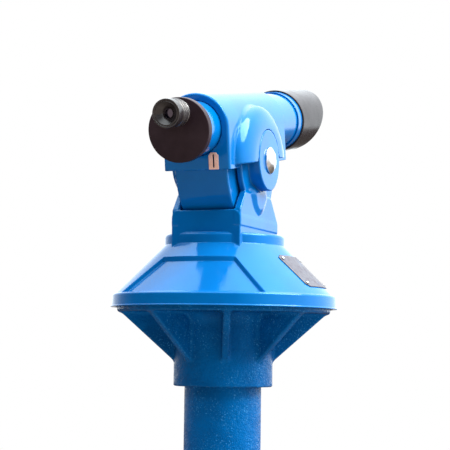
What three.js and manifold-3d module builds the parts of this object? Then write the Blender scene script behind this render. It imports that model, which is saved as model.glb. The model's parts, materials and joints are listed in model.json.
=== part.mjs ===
// Coin-operated sightseeing telescope on a floor-standing pedestal.
// Millimetres, +Z up. The origin is the centre of the base flange's underside, on the floor.
// The telescope points along +Y, its eyepiece is at -Y, and the tilt axis is parallel to X.
import * as THREE from 'three';
import { mergeVertices } from 'three/addons/utils/BufferGeometryUtils.js';
import { ConvexGeometry } from 'three/addons/geometries/ConvexGeometry.js';
import Module from 'manifold-3d';

const wasm = await Module();
wasm.setup();

// ---- driving dimensions -------------------------------------------------------------------
const GAP = 0.3;                 // between touching pieces
const RUNNING = 0.7;             // round a faceted shaft that turns in its bush
const RIM_Z = 1130;              // underside of the skirt rim above the floor
const RIM_R = 237;               // skirt rim
const COLUMN_R = 80;
const COLUMN_WALL = 6;
const COLLAR_R = 103;            // hub of the ribbed collar
const COLLAR_DROP = 162;         // collar's lower edge below the rim
const RIB_COUNT = 8;
const RIB_T = 15;
const SPINDLE_R = 25;
const PIVOT_H = 309;             // tilt axis above the rim
const REST_TILT = 10;            // elevation of the telescope at rest, degrees
const AXIS_H = 76;               // optical axis above the tilt axis
const ARM_IN = 60;               // inner face of each fork arm from the mid plane
const EYE_OUT = 72;              // outer face of each arm's round eye
const EYE_R = 104;
const EYE_SINK = 38;             // the eye stays this low above the tilt axis, clear of the tube
const BOSS_OUT = 98;
const BOSS_R = 64;
const FORK_W = 75;               // half width of the fork's base and of its arms' feet
const FORK_FRONT = -113;
const FORK_BACK = 122;
const FORK_TOP = 198;            // top of the fork's base above the rim
const DRUM_R = 148;
const DRUM_W = 57;               // half width of the drum shield
const SADDLE_W = 71.3;           // half width of the saddle, also its arch radius
const SADDLE_FRONT = -167;
const SADDLE_BACK = 193;
const SADDLE_FOOT = -8;          // lower edge of the saddle, from the tilt axis
const TUBE_R = 64;
const REAR_TUBE_R = 55.5;
const HOOD_R = 71;
const EYE_RISE = 34;             // eyepiece axis above the optical axis
const BOLT_R = 16;               // shank of each pivot bolt

const ROUND = 36;                // facets of the large turned pieces
const SMALL = 16;                // facets of the small turned pieces

// ---- helpers ------------------------------------------------------------------------------
function welded(geometry) {
  const bare = geometry.clone();
  bare.deleteAttribute('normal');
  bare.deleteAttribute('uv');
  const merged = mergeVertices(bare, 1e-4);
  const corners = merged.index.array;
  const kept = [];
  for (let i = 0; i < corners.length; i += 3) {
    const [a, b, c] = corners.slice(i, i + 3);
    if (a !== b && b !== c && c !== a) kept.push(a, b, c);
  }
  merged.setIndex(kept);
  return merged;
}

function toSolid(geometry) {
  const mesh = welded(geometry);
  const vertProperties = new Float32Array(mesh.attributes.position.array);
  const triVerts = new Uint32Array(mesh.index.array);
  return new wasm.Manifold(new wasm.Mesh({ numProp: 3, vertProperties, triVerts }));
}

function toGeometry(solid) {
  const mesh = solid.getMesh();
  const geometry = new THREE.BufferGeometry();
  geometry.setAttribute('position', new THREE.BufferAttribute(mesh.vertProperties, 3));
  geometry.setIndex(new THREE.BufferAttribute(mesh.triVerts, 1));
  return geometry;
}

function join(...geometries) {
  return toGeometry(geometries.map(toSolid).reduce((whole, next) => whole.add(next)));
}

function cut(geometry, ...tools) {
  return toGeometry(tools.map(toSolid).reduce((whole, tool) => whole.subtract(tool), toSolid(geometry)));
}

function common(first, second) {
  return toGeometry(toSolid(first).intersect(toSolid(second)));
}

// Points on an arc about (u, v), angles in degrees.
function arc(u, v, radius, from, to, steps) {
  const points = [];
  for (let i = 0; i <= steps; i += 1) {
    const angle = THREE.MathUtils.degToRad(from + (to - from) * i / steps);
    points.push([u + radius * Math.cos(angle), v + radius * Math.sin(angle)]);
  }
  return points;
}

// A profile of [radius, height] points turned about the Y axis.
function turned(profile, facets = ROUND) {
  const points = profile.map(([radius, along]) => new THREE.Vector2(radius, along));
  const solidCentre = profile[0][0] === 0 && profile.at(-1)[0] === 0;
  if (!solidCentre) points.push(points[0].clone());
  if (THREE.ShapeUtils.area(points) < 0) points.reverse();
  return new THREE.LatheGeometry(points, facets);
}

const upright = geometry => geometry.rotateX(Math.PI / 2);
const sideways = geometry => geometry.rotateZ(-Math.PI / 2);

function disc(radius, from, to, facets = ROUND) {
  return turned([[0, from], [radius, from], [radius, to], [0, to]], facets);
}

function ring(inner, outer, from, to, facets = ROUND) {
  return turned([[inner, from], [outer, from], [outer, to], [inner, to]], facets);
}

function block(x0, x1, y0, y1, z0, z1) {
  const box = new THREE.BoxGeometry(x1 - x0, y1 - y0, z1 - z0);
  return box.translate((x0 + x1) / 2, (y0 + y1) / 2, (z0 + z1) / 2);
}

function extruded(outline, depth) {
  const shape = new THREE.Shape(outline.map(([u, v]) => new THREE.Vector2(u, v)));
  return new THREE.ExtrudeGeometry(shape, { depth, bevelEnabled: false });
}

const axisX = new THREE.Vector3(1, 0, 0);
const axisY = new THREE.Vector3(0, 1, 0);
const axisZ = new THREE.Vector3(0, 0, 1);

// An outline of [y, z] points extruded from x0 to x1.
function alongX(outline, x0, x1) {
  const turn = new THREE.Matrix4().makeBasis(axisY, axisZ, axisX);
  return extruded(outline, x1 - x0).applyMatrix4(turn).translate(x0, 0, 0);
}

// An outline of [x, z] points extruded from y0 to y1.
function alongY(outline, y0, y1) {
  const turn = new THREE.Matrix4().makeBasis(axisX, axisZ, axisY.clone().negate());
  return extruded(outline, y1 - y0).applyMatrix4(turn).translate(0, y1, 0);
}

// A hexagonal prism standing along Z.
function hexagon(acrossFlats, from, to) {
  const corner = acrossFlats / Math.sqrt(3);
  return upright(new THREE.CylinderGeometry(corner, corner, to - from, 6)).translate(0, 0, (from + to) / 2);
}

const mirrored = ([u, v]) => [-u, v];

// The same piece on the other side of the mid plane.
function reflected(geometry) {
  return toGeometry(toSolid(geometry).mirror([1, 0, 0]));
}

// ---- scene graph --------------------------------------------------------------------------
const finishes = {
  gloss_blue: [0x0a7ad2, 0.22, 0],
  cast_blue: [0x0668b4, 0.5, 0],
  black: [0x2a2226, 0.4, 0],
  rubber: [0x1b1a1c, 0.8, 0],
  chrome: [0xd8d8d8, 0.15, 1],
  steel: [0x8f9499, 0.35, 1],
  zinc: [0xa9adb0, 0.45, 1],
  copper: [0xd9a27e, 0.35, 1],
  bronze: [0xa9793c, 0.4, 1],
  aluminium: [0xb4b7ba, 0.4, 1],
  glass: [0xdfe9f2, 0.05, 0],
  plate: [0xc9c4c8, 0.3, 1],
  plastic: [0x3a3d42, 0.6, 0],
};

const telescope = new THREE.Group();
const pedestal = new THREE.Group();
const head = new THREE.Group();
const scope = new THREE.Group();
telescope.add(pedestal, head);
head.position.z = RIM_Z;
head.add(scope);
scope.position.z = PIVOT_H;
scope.rotation.x = THREE.MathUtils.degToRad(REST_TILT);

function piece(parent, name, geometry, finish) {
  const [color, roughness, metalness] = finishes[finish];
  const material = new THREE.MeshStandardMaterial({ color, roughness, metalness });
  const mesh = new THREE.Mesh(welded(geometry), material);
  mesh.name = name;
  parent.add(mesh);
  return mesh;
}

// ---- pedestal: heights from the floor -----------------------------------------------------
const BASE_R = 195;
const BASE_T = 22;
const SOCKET_TOP = 120;
const ANCHOR_COUNT = 6;
const ANCHOR_CIRCLE = 160;
const ANCHOR_R = 8;
const BALL_COUNT = 8;
const SEAT_Z = RIM_Z + 20;       // bearing seat on top of the collar

function baseFlange() {
  const profile = [
    [0, 0], [BASE_R, 0], [BASE_R, BASE_T - 4], [BASE_R - 4, BASE_T],
    ...arc(COLLAR_R + 22, BASE_T + 22, 22, 270, 180, 4),
    [COLLAR_R, SOCKET_TOP - 4], [COLLAR_R - 4, SOCKET_TOP],
    [COLUMN_R + GAP, SOCKET_TOP], [COLUMN_R + GAP, 30], [0, 30],
  ];
  const holes = [];
  for (let i = 0; i < ANCHOR_COUNT; i += 1) {
    const hole = upright(disc(ANCHOR_R + 1, -1, BASE_T + 1, 12)).translate(ANCHOR_CIRCLE, 0, 0);
    holes.push(hole.rotateZ(2 * Math.PI * (i + 0.5) / ANCHOR_COUNT));
  }
  return cut(upright(turned(profile)), ...holes);
}

// Stud, nut and washer of one anchor, standing through its hole.
function anchorBolt() {
  const washerTop = BASE_T + GAP + 3;
  const stud = upright(disc(ANCHOR_R, 1, washerTop + 22, 12));
  const washer = upright(disc(17, BASE_T + GAP, washerTop, SMALL));
  return join(stud, washer, hexagon(24, washerTop - 0.5, washerTop + 13));
}

// Hub, trumpet, top plate and bearing seat of the collar, then its ribs.
function collarCasting() {
  const foot = RIM_Z - COLLAR_DROP;
  const flareR = 30;
  const plateUnder = RIM_Z - 4;
  const plateTop = RIM_Z + 8;
  const plateR = 222;
  const profile = [
    [COLUMN_R + GAP, foot], [COLLAR_R - 3, foot], [COLLAR_R, foot + 3],
    ...arc(COLLAR_R + flareR, plateUnder - 8 - flareR, flareR, 180, 90, 5),
    [plateR - 6, plateUnder - 4], [plateR, plateUnder], [plateR, plateTop],
    [62, plateTop], [58, SEAT_Z], [SPINDLE_R + GAP, SEAT_Z],
    [SPINDLE_R + GAP, RIM_Z - 44], [COLUMN_R + GAP, RIM_Z - 44],
  ];
  const ribRoot = COLLAR_R - 12;
  const ribOutline = [
    [ribRoot, RIM_Z - 118], [COLLAR_R + 2, RIM_Z - 113],
    [plateR - 1, plateUnder + 1], [ribRoot, plateUnder + 4],
  ];
  const ribs = [];
  for (let i = 0; i < RIB_COUNT; i += 1) {
    const rib = alongX(ribOutline, -RIB_T / 2, RIB_T / 2);
    ribs.push(rib.rotateZ(2 * Math.PI * (i + 0.5) / RIB_COUNT));
  }
  return join(upright(turned(profile)), ...ribs);
}

function columnTube() {
  return upright(ring(COLUMN_R - COLUMN_WALL, COLUMN_R, 30 + GAP, RIM_Z - 44 - GAP));
}

// Shouldered spindle held in the collar by its lower flange.
function azimuthSpindle() {
  const web = RIM_Z - 44 - GAP;
  return upright(turned([
    [0, web - 14], [40, web - 14], [40, web], [SPINDLE_R, web],
    [SPINDLE_R, RIM_Z + 119], [SPINDLE_R - 3, RIM_Z + 121], [SPINDLE_R - 3, RIM_Z + 147], [0, RIM_Z + 147],
  ], 24));
}

// Ball cage: a flat ring with its balls.
function ballRing() {
  const middle = SEAT_Z + 9;
  const balls = [];
  for (let i = 0; i < BALL_COUNT; i += 1) {
    const ball = new THREE.SphereGeometry(3.4, 6, 4).translate(43.5, 0, middle);
    balls.push(ball.rotateZ(2 * Math.PI * i / BALL_COUNT));
  }
  return join(upright(ring(34, 53, middle - 1.2, middle + 1.2, SMALL)), ...balls);
}

piece(pedestal, 'base_flange', baseFlange(), 'cast_blue');
for (let i = 0; i < ANCHOR_COUNT; i += 1) {
  const bolt = anchorBolt().translate(ANCHOR_CIRCLE, 0, 0).rotateZ(2 * Math.PI * (i + 0.5) / ANCHOR_COUNT);
  piece(pedestal, `anchor_bolt_${i + 1}`, bolt, 'zinc');
}
piece(pedestal, 'column_tube', columnTube(), 'cast_blue');
piece(pedestal, 'collar_casting', collarCasting(), 'cast_blue');
piece(pedestal, 'azimuth_spindle', azimuthSpindle(), 'steel');
piece(pedestal, 'thrust_race_lower', upright(ring(32, 55, SEAT_Z + GAP, SEAT_Z + 5, SMALL)), 'steel');
piece(pedestal, 'thrust_ball_ring', ballRing(), 'bronze');

// ---- head: heights from the skirt rim -----------------------------------------------------
const HUB_FOOT = 37.6;           // underside of the skirt's hub
const HUB_TOP = 118;
const CONE_TOP = [126, 129];
const CONE_FOOT = [228, 28];
const RING_TOP = 152;
const SHELL_T = 11;
const RIM_TOP = 27;              // shelf between the rim and the cone
const CONE_SUM = CONE_FOOT[0] + CONE_FOOT[1];   // radius plus height, the same all the way up the cone
const RECESS = 9.9;              // drop of the panel's floor
const PANEL_TOP = 100.5;
const PANEL_FOOT_HALF = 157;     // half widths of the panel's outline on the cone
const PANEL_TOP_HALF = 79;
const PANEL_LEAN = 13.5;         // how far the panel's floor stands in from its outline
const PANEL_TURN = -1.8;         // degrees about the column

// Outer line of the skirt from its rim to the top of the ring step, offset outwards by the clearance.
function skirtOutline(clearance) {
  const step = CONE_TOP[0] - 8;
  return [
    [RIM_R + clearance, 0], [RIM_R + clearance, 1.8], [RIM_R - 2.2 + clearance, 3],
    [RIM_R - 3 + clearance, RIM_TOP - 3], [RIM_R - 5 + clearance, RIM_TOP + clearance],
    [CONE_FOOT[0] + clearance, CONE_FOOT[1] + clearance], [CONE_TOP[0] + clearance, CONE_TOP[1] + clearance],
    ...arc(step, RING_TOP - 8, 8 + clearance, 0, 90, 3),
  ];
}

// Corner of the panel on one side at a height, moved inwards or outwards along its leaning wall.
function panelCorner(side, half, height, along) {
  const radius = CONE_SUM - height;
  const front = Math.sqrt(radius * radius - half * half);
  return new THREE.Vector3(side * (half + along * PANEL_LEAN), -front - along, height);
}

// Trapezoid panel sunk in the front of the cone, its top wall upright and its side walls leaning in.
function panelRecess() {
  const foot = CONE_FOOT[1];
  const topFloor = CONE_SUM - PANEL_TOP;
  const band = upright(turned([
    [CONE_SUM - RECESS - foot, foot], [300, foot], [300, PANEL_TOP],
    [topFloor, PANEL_TOP], [topFloor, PANEL_TOP - RECESS],
  ]));
  const corners = [foot, PANEL_TOP].flatMap(height => {
    const half = height === foot ? PANEL_FOOT_HALF : PANEL_TOP_HALF;
    const sides = [-1, 1].flatMap(side => [-3, 2].map(along => panelCorner(side, half, height, along)));
    return [...sides, new THREE.Vector3(0, -300, height)];
  });
  return common(band, new ConvexGeometry(corners)).rotateZ(THREE.MathUtils.degToRad(PANEL_TURN));
}

function skirtHood() {
  const drop = SHELL_T * Math.SQRT2;
  const hubR = SPINDLE_R + 5;
  const under = RING_TOP - 12;
  const profile = [
    ...skirtOutline(0), [46, RING_TOP], [46, HUB_TOP], [hubR, HUB_TOP], [hubR, HUB_FOOT],
    [58, HUB_FOOT], [58, under], [CONE_TOP[0] - SHELL_T - 4, under],
    [CONE_TOP[0] - SHELL_T, CONE_TOP[1] - 4], [CONE_FOOT[0] - drop + 4, CONE_FOOT[1] - 4],
    [RIM_R - 9, 14], [RIM_R - 8, 0],
  ];
  const holes = forkBoltPlaces.map(([x, y]) => upright(disc(6, HUB_TOP, RING_TOP + 5, 12)).translate(x, y, 0));
  return cut(upright(turned(profile, 44)), panelRecess(), ...holes);
}

const PLATE_FOOT = 42.8;         // nameplate's lower edge
const PLATE_LENGTH = 63.5;       // up the cone, measured level
const PLATE_HALF = 64;

// Thin plate bent to the cone on the +X side.
function nameplate() {
  const at = (along, lift) => [CONE_SUM - PLATE_FOOT - along + lift, PLATE_FOOT + along + lift];
  const skin = upright(turned([at(0, GAP), at(0, 1.6), at(PLATE_LENGTH, 1.6), at(PLATE_LENGTH, GAP)], 44));
  return common(skin, block(100, 300, -PLATE_HALF, PLATE_HALF, 0, 200));
}

// Domed screw of the nameplate, standing square to the cone.
function plateScrew(side, along) {
  const radius = CONE_SUM - PLATE_FOOT - along + 0.6;
  const dome = upright(turned([[0, 2.6], [4.2, 2.6], [4.2, 3.3], [2.6, 4.6], [0, 5]], 12));
  const turn = Math.asin(side * 56 / radius);
  return dome.rotateY(Math.PI / 4).translate(radius, 0, PLATE_FOOT + along).rotateZ(turn);
}

const forkBoltPlaces = [[-45, -88], [45, -88], [-45, 88], [45, 88]];

// Hex bolt driven up through the skirt's top plate into the fork.
function forkBolt(x, y) {
  const under = RING_TOP - 12 - GAP;
  const shank = upright(disc(5, under - 1, RING_TOP + 21, 12));
  return join(shank, hexagon(17, under - 8, under)).translate(x, y, 0);
}

const LEDGE = PIVOT_H - 72;      // top of each arm's thicker foot
const LEDGE_HALF = 79;
const EYE_LOW = LEDGE - PIVOT_H - 2;   // the eye is rooted just inside the foot

// Both halves of a side view whose +Y half is given from the tilt axis.
function sideView(half) {
  return [...half, ...[...half].reverse().map(mirrored)].map(([y, z]) => [y, z + PIVOT_H]);
}

// One fork arm: its foot, the round eye with a roof-shaped top, and the boss over a shallow gusset.
function forkArm() {
  const foot = [
    [FORK_FRONT + 3, 165], [FORK_BACK, 165], [FORK_BACK, 190],
    [LEDGE_HALF, LEDGE], [-LEDGE_HALF, LEDGE], [FORK_FRONT + 3, FORK_TOP],
  ];
  const from = THREE.MathUtils.radToDeg(Math.asin(EYE_LOW / EYE_R));
  const roof = y => EYE_SINK / Math.cos(Math.PI / 6) - y * Math.tan(Math.PI / 6);
  const eye = sideView([...arc(0, 0, EYE_R, from, -14, 5), [76, roof(76)], [19, roof(19)]]);
  const boss = sideways(disc(BOSS_R, EYE_OUT, BOSS_OUT)).translate(0, 0, PIVOT_H);
  const underBoss = PIVOT_H - BOSS_R + 2;
  const gusset = new ConvexGeometry([-1, 1].flatMap(side => [
    new THREE.Vector3(EYE_OUT - 1, side * 50, underBoss), new THREE.Vector3(EYE_OUT - 1, side * 22, 206),
    new THREE.Vector3(FORK_W + 6, side * 46, underBoss), new THREE.Vector3(FORK_W + 0.5, side * 22, 206),
  ]));
  const bore = sideways(disc(BOLT_R + 6, ARM_IN - 10, BOSS_OUT + 10, 24)).translate(0, 0, PIVOT_H);
  return cut(join(alongX(foot, ARM_IN, FORK_W), alongX(eye, ARM_IN, EYE_OUT), boss, gusset), bore);
}

// Base block with rounded upper corners, hollowed for the drum and fitted over the skirt's ring.
function forkBase() {
  const corner = 18;
  const side = FORK_W - corner;
  const face = [
    [-FORK_W, 116], [FORK_W, 116],
    ...arc(side, FORK_TOP - corner, corner, 0, 90, 4), ...arc(-side, FORK_TOP - corner, corner, 90, 180, 4),
  ];
  const body = alongY(face, FORK_FRONT, FORK_BACK);
  const drumRoom = sideways(disc(DRUM_R + 4, -ARM_IN, ARM_IN, 48)).translate(0, 0, PIVOT_H);
  const skirtRoom = upright(turned([[0, -10], ...skirtOutline(GAP), [0, RING_TOP + GAP]], 44));
  const backSlope = alongX([[100, 208], [FORK_BACK + 1, 189], [FORK_BACK + 1, 230], [100, 230]], -100, 100);
  const hole = upright(disc(5 + GAP, 140, RING_TOP + 24, 12));
  const holes = forkBoltPlaces.map(([x, y]) => hole.clone().translate(x, y, 0));
  return cut(body, drumRoom, skirtRoom, backSlope, ...holes);
}

function forkCasting() {
  return join(forkBase(), forkArm(), reflected(forkArm()));
}

piece(head, 'thrust_race_upper', upright(ring(32, 55, HUB_FOOT - GAP - 4.7, HUB_FOOT - GAP, SMALL)), 'steel');
const hubBush = upright(ring(SPINDLE_R + RUNNING, SPINDLE_R + 4.7, HUB_FOOT + 2, HUB_TOP - 2, 24));
piece(head, 'hub_bushing', hubBush, 'bronze');
piece(head, 'skirt_hood', skirtHood(), 'gloss_blue');
piece(head, 'nameplate', nameplate(), 'plate');
for (const side of [-1, 1]) {
  piece(head, `plate_screw_upper_${side < 0 ? 'left' : 'right'}`, plateScrew(side, 57), 'steel');
  piece(head, `plate_screw_lower_${side < 0 ? 'left' : 'right'}`, plateScrew(side, 7), 'steel');
}
piece(head, 'fork_casting', forkCasting(), 'gloss_blue');
forkBoltPlaces.forEach(([x, y], i) => piece(head, `fork_bolt_${i + 1}`, forkBolt(x, y), 'zinc'));
const armBush = sideways(ring(BOLT_R + RUNNING, BOLT_R + 5.7, ARM_IN + 1, BOSS_OUT - 1, 24));
armBush.translate(0, 0, PIVOT_H);
piece(head, 'pivot_bushing_right', armBush.clone(), 'bronze');
piece(head, 'pivot_bushing_left', reflected(armBush), 'bronze');

// Washer and nut that keep the head down on the spindle.
const nutFoot = HUB_TOP + GAP + 4;
const washer = upright(ring(SPINDLE_R + RUNNING, 42, HUB_TOP + GAP, nutFoot, 24));
const nutBore = upright(disc(SPINDLE_R - 3 + GAP, HUB_TOP, RING_TOP, 24));
const nut = cut(hexagon(66, nutFoot + GAP, nutFoot + 20), nutBore);
piece(pedestal, 'spindle_washer', washer.translate(0, 0, RIM_Z), 'steel');
piece(pedestal, 'spindle_nut', nut.translate(0, 0, RIM_Z), 'zinc');

// ---- telescope: [x, along the optical axis, up], from the tilt axis -----------------------
const WALL = 5;                  // saddle wall
const EAR_FOOT_R = 140;          // ear's outline on the saddle wall
const EAR_FACE_R = 97;           // ear's outline on its flat face
const EAR_OUT = 97;
const EAR_SQUASH = 0.82;         // the ears are a little lower than they are wide
const TUBE_FRONT = 333;
const TUBE_STEP = -125;          // where the rear tube narrows
const CAP_FACE = -255;
const EYE_H = AXIS_H + EYE_RISE;

const onAxis = geometry => geometry.translate(0, 0, AXIS_H);
const onEye = geometry => geometry.translate(0, 0, EYE_H);

// Arch outline of [x, up] points, with its feet at the given height.
function arch(radius, foot, steps) {
  return [[radius, foot], ...arc(0, AXIS_H, radius, 0, 180, steps), [-radius, foot]];
}

// Half dome over one fork arm.
function ear() {
  const root = SADDLE_W - WALL - 1;
  const flankR = (EAR_FOOT_R + EAR_FACE_R) / 2 - 2;
  const dome = turned([
    [0, root], [EAR_FOOT_R, root], [EAR_FOOT_R, SADDLE_W - 1], [flankR, EAR_OUT - 14],
    ...arc(EAR_FACE_R - 12, EAR_OUT - 12, 12, 35, 90, 3), [0, EAR_OUT],
  ]);
  return common(sideways(dome), block(0, 200, -200, 200, 0, 200)).scale(1, 1, EAR_SQUASH);
}

// Room inside an ear for the fork arm at every tilt, with a notch for its boss that widens at the foot.
function earHollow() {
  const wall = EYE_OUT + 3;
  const roof = EAR_OUT - 8;
  const around = sideways(turned([
    [0, ARM_IN - GAP], [EYE_R + 3, ARM_IN - GAP], [EYE_R + 3, wall], [EAR_FACE_R - 3, roof], [0, roof],
  ]));
  const room = common(around, block(0, 200, -200, 200, SADDLE_FOOT - 2, EYE_SINK + 2));
  const notch = sideways(disc(BOSS_R + 2, EYE_OUT - GAP, EAR_OUT + 9));
  const mouth = sideways(disc(85, EYE_OUT - GAP, EAR_OUT + 9)).translate(0, 0, -36);
  return join(room, notch, mouth);
}

function saddleHousing() {
  const outside = alongY(arch(SADDLE_W, SADDLE_FOOT, 20), SADDLE_FRONT, SADDLE_BACK);
  const inside = alongY(arch(SADDLE_W - WALL, SADDLE_FOOT - 5, 20), SADDLE_FRONT + 7, SADDLE_BACK - 7);
  const ears = [ear(), reflected(ear())];
  const hollows = [earHollow(), reflected(earHollow())];
  const backHole = onAxis(disc(REAR_TUBE_R + GAP, SADDLE_FRONT - 5, SADDLE_FRONT + 10));
  const frontHole = onAxis(disc(TUBE_R + GAP, SADDLE_BACK - 10, SADDLE_BACK + 5));
  const inlet = block(COIN_X - 2, COIN_X + 2, SADDLE_FRONT - 1, SADDLE_FRONT + 8, COIN_H - 14, COIN_H + 14);
  return cut(join(outside, ...ears), inside, ...hollows, backHole, frontHole, inlet);
}

// Half drum below the saddle, with the top plate that closes it and the two threaded pivot hubs.
const COIN_X = 37;
const COIN_H = 10;
const DRUM_TOP = SADDLE_FOOT;
const DOOR_FROM = -15;           // cash door, angles below the horizontal
const DOOR_TO = -50;
const DOOR_W = 43;

function drumSector(radius, halfWidth, from, to) {
  return alongX([[0, 0], ...arc(0, 0, radius, from, to, 6)], -halfWidth, halfWidth);
}

function drumShield() {
  const lower = block(-200, 200, -300, 300, -300, DRUM_TOP);
  const shell = common(sideways(disc(DRUM_R, -DRUM_W, DRUM_W, 56)), lower);
  const inner = common(sideways(disc(DRUM_R - 6, 8 - DRUM_W, DRUM_W - 8, 56)), lower);
  const [lidFrom, lidTo] = [SADDLE_FRONT + 7 + GAP, SADDLE_BACK - 7 - GAP];
  const topPlate = block(-DRUM_W, DRUM_W, lidFrom, lidTo, DRUM_TOP, DRUM_TOP + 6);
  const hub = sideways(disc(34, DRUM_W - 8, DRUM_W));
  const hubs = common(join(hub, reflected(hub)), block(-200, 200, -40, 40, -40, 29));
  const threads = sideways(disc(BOLT_R - 4 + GAP, -DRUM_W - 5, DRUM_W + 5, SMALL));
  const doorway = cut(drumSector(DRUM_R + 5, DOOR_W, DOOR_TO, DOOR_FROM), sideways(disc(120, -100, 100)));
  const chuteSlot = block(COIN_X - 7, COIN_X + 7, -175, -45, DRUM_TOP, DRUM_TOP + 10);
  return cut(join(shell, topPlate, hubs), inner, threads, doorway, chuteSlot);
}

// Curved door over the drum's rear opening, hinged along its upper edge.
function cashDoor() {
  const step = 0.4;
  const sector = drumSector(DRUM_R, DOOR_W - GAP - 0.2, DOOR_TO + step, DOOR_FROM - step);
  const lockHole = lockAlong(disc(9 + GAP, 120, 160, SMALL));
  return cut(sector, sideways(disc(DRUM_R - 5, -100, 100)), lockHole);
}

// Places a piece turned about Y on the line through the lock.
function lockAlong(geometry) {
  return geometry.rotateX(THREE.MathUtils.degToRad(DOOR_TO + 9));
}

function cashLock() {
  const cylinder = turned([[0, 130], [9, 130], [9, DRUM_R + 1.5], [7.5, DRUM_R + 3], [0, DRUM_R + 3]], SMALL);
  const keyway = block(-1, 1, DRUM_R - 2, DRUM_R + 5, -4, 4);
  const cam = block(-22, 6, 130, 133, -6, 6);
  return lockAlong(join(cut(cylinder, keyway), cam));
}

// Open-topped box that the coins fall into.
function cashBox() {
  return cut(block(-40, 40, -40, 74, -104, -36), block(-38, 38, -38, 72, -102, -30));
}

// Slotted channel that leads a coin from the plate down into the drum.
function coinChute() {
  const from = SADDLE_FRONT + 7 + GAP;
  const sweep = (half, reach) => [
    [from - reach, COIN_H - half], [-138, COIN_H - 2 - half], [-52 + reach, -44 - half],
    [-52 + reach, -44 + half], [-128, COIN_H - 6 + half], [from - reach, COIN_H + half - 4],
  ];
  const outer = alongX(sweep(15, 0), COIN_X - 5, COIN_X + 5);
  return cut(outer, alongX(sweep(13.4, 5), COIN_X - 2, COIN_X + 2));
}

function coinPlate() {
  const outline = [[-10.5, -17], [10.5, -17], [10.5, 10], [5, 17], [-5, 17], [-10.5, 10]];
  const plate = alongY(outline, SADDLE_FRONT - 2.3, SADDLE_FRONT - GAP).translate(COIN_X, 0, COIN_H);
  const slot = block(COIN_X - 1.5, COIN_X + 1.5, SADDLE_FRONT - 5, SADDLE_FRONT + 5, COIN_H - 13, COIN_H + 13);
  return cut(plate, slot);
}

function mainTube() {
  return onAxis(turned([
    [REAR_TUBE_R - 4, CAP_FACE + 4.5], [REAR_TUBE_R, CAP_FACE + 4.5], [REAR_TUBE_R, TUBE_STEP],
    [TUBE_R, TUBE_STEP + 8], [TUBE_R, TUBE_FRONT], [TUBE_R - 4, TUBE_FRONT],
    [TUBE_R - 4, TUBE_STEP + 9], [REAR_TUBE_R - 4, TUBE_STEP + 1],
  ]));
}

// Hood with a square rear flange and an obliquely cut mouth, longest at the top.
const HOOD_TOP = 537;
const HOOD_FOOT = 431;

function lensHood() {
  const shell = turned([
    [60.5, TUBE_FRONT + GAP], [HOOD_R - 1.5, TUBE_FRONT + GAP], [HOOD_R, TUBE_FRONT + 2],
    [HOOD_R, HOOD_TOP + 10], [HOOD_R - 3, HOOD_TOP + 10], [HOOD_R - 3, TUBE_FRONT + 5], [60.5, TUBE_FRONT + 5],
  ]);
  const lean = (HOOD_TOP - HOOD_FOOT) / (2 * HOOD_R);
  const reach = height => HOOD_FOOT + (height + HOOD_R) * lean;
  const beyond = alongX([[reach(-90), -90], [700, -90], [700, 90], [reach(90), 90]], -100, 100);
  return onAxis(cut(shell, beyond));
}

function flangeRing() {
  return onAxis(ring(TUBE_R + GAP, TUBE_R + 3.5, TUBE_FRONT - 27, TUBE_FRONT - GAP));
}

function objectiveCell() {
  return onAxis(turned([
    [52, 292], [TUBE_R - 4 - GAP, 292], [TUBE_R - 4 - GAP, 331], [56, 331], [56, 300], [52, 300],
  ], 24));
}

// Lens between two spherical faces of the given sags, standing on the optical axis.
function lens(radius, back, backSag, front, frontSag) {
  const bulge = (from, sag) => [0, 0.5, 0.85].map(t => [radius * t, from + sag * (1 - t * t)]);
  const rim = [[radius, back], [radius, front]];
  return turned([...bulge(back, backSag), ...rim, ...bulge(front, frontSag).reverse()], SMALL);
}

// Right-angle prism with its long face at the given place, its ridge the other way.
const PRISM_LEG = 26;
const HOLDER_BACK = -208;
const HOLDER_FRONT = -204;
const UPPER_FOOT = EYE_RISE - 1.5 * PRISM_LEG;   // its upper half faces the eyepiece
const LOWER_FOOT = UPPER_FOOT - PRISM_LEG;       // its upper half faces the upper prism's lower half

function prism(foot, face, ridgeSide) {
  const ridge = [face + ridgeSide * PRISM_LEG, foot + PRISM_LEG];
  const outline = [[face, foot], [face, foot + 2 * PRISM_LEG], ridge];
  if (ridgeSide < 0) outline.reverse();
  return onAxis(alongX(outline, -14, 14));
}

function prismHolder() {
  const plate = disc(REAR_TUBE_R - 4 - GAP, HOLDER_BACK, HOLDER_FRONT);
  return onAxis(cut(plate, block(-10, 10, -220, -190, LOWER_FOOT + 4, UPPER_FOOT + 2 * PRISM_LEG - 4)));
}

function rearCap() {
  const rim = 64.2;
  const body = onAxis(turned([
    [0, CAP_FACE], [rim - 2, CAP_FACE], [rim, CAP_FACE + 2], [rim, CAP_FACE + 16], [rim - 2, CAP_FACE + 18],
    [REAR_TUBE_R + GAP, CAP_FACE + 18], [REAR_TUBE_R + GAP, CAP_FACE + 4], [0, CAP_FACE + 4],
  ]));
  return cut(body, onEye(disc(20 + GAP, CAP_FACE - 5, CAP_FACE + 10, 24)));
}

const RING_FROM = CAP_FACE - 34;
const GRIP_R = 28.5;             // outer radius of the eyecup

function eyepieceBarrel() {
  return onEye(turned([
    [17.5, CAP_FACE + 3.5], [20, CAP_FACE + 3.5], [20, CAP_FACE - GAP],
    [27, CAP_FACE - GAP], [27, CAP_FACE - 5], [22, CAP_FACE - 5], [22, RING_FROM],
    [20, RING_FROM], [20, CAP_FACE - 6], [17.5, CAP_FACE - 6],
  ], 24));
}

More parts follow.
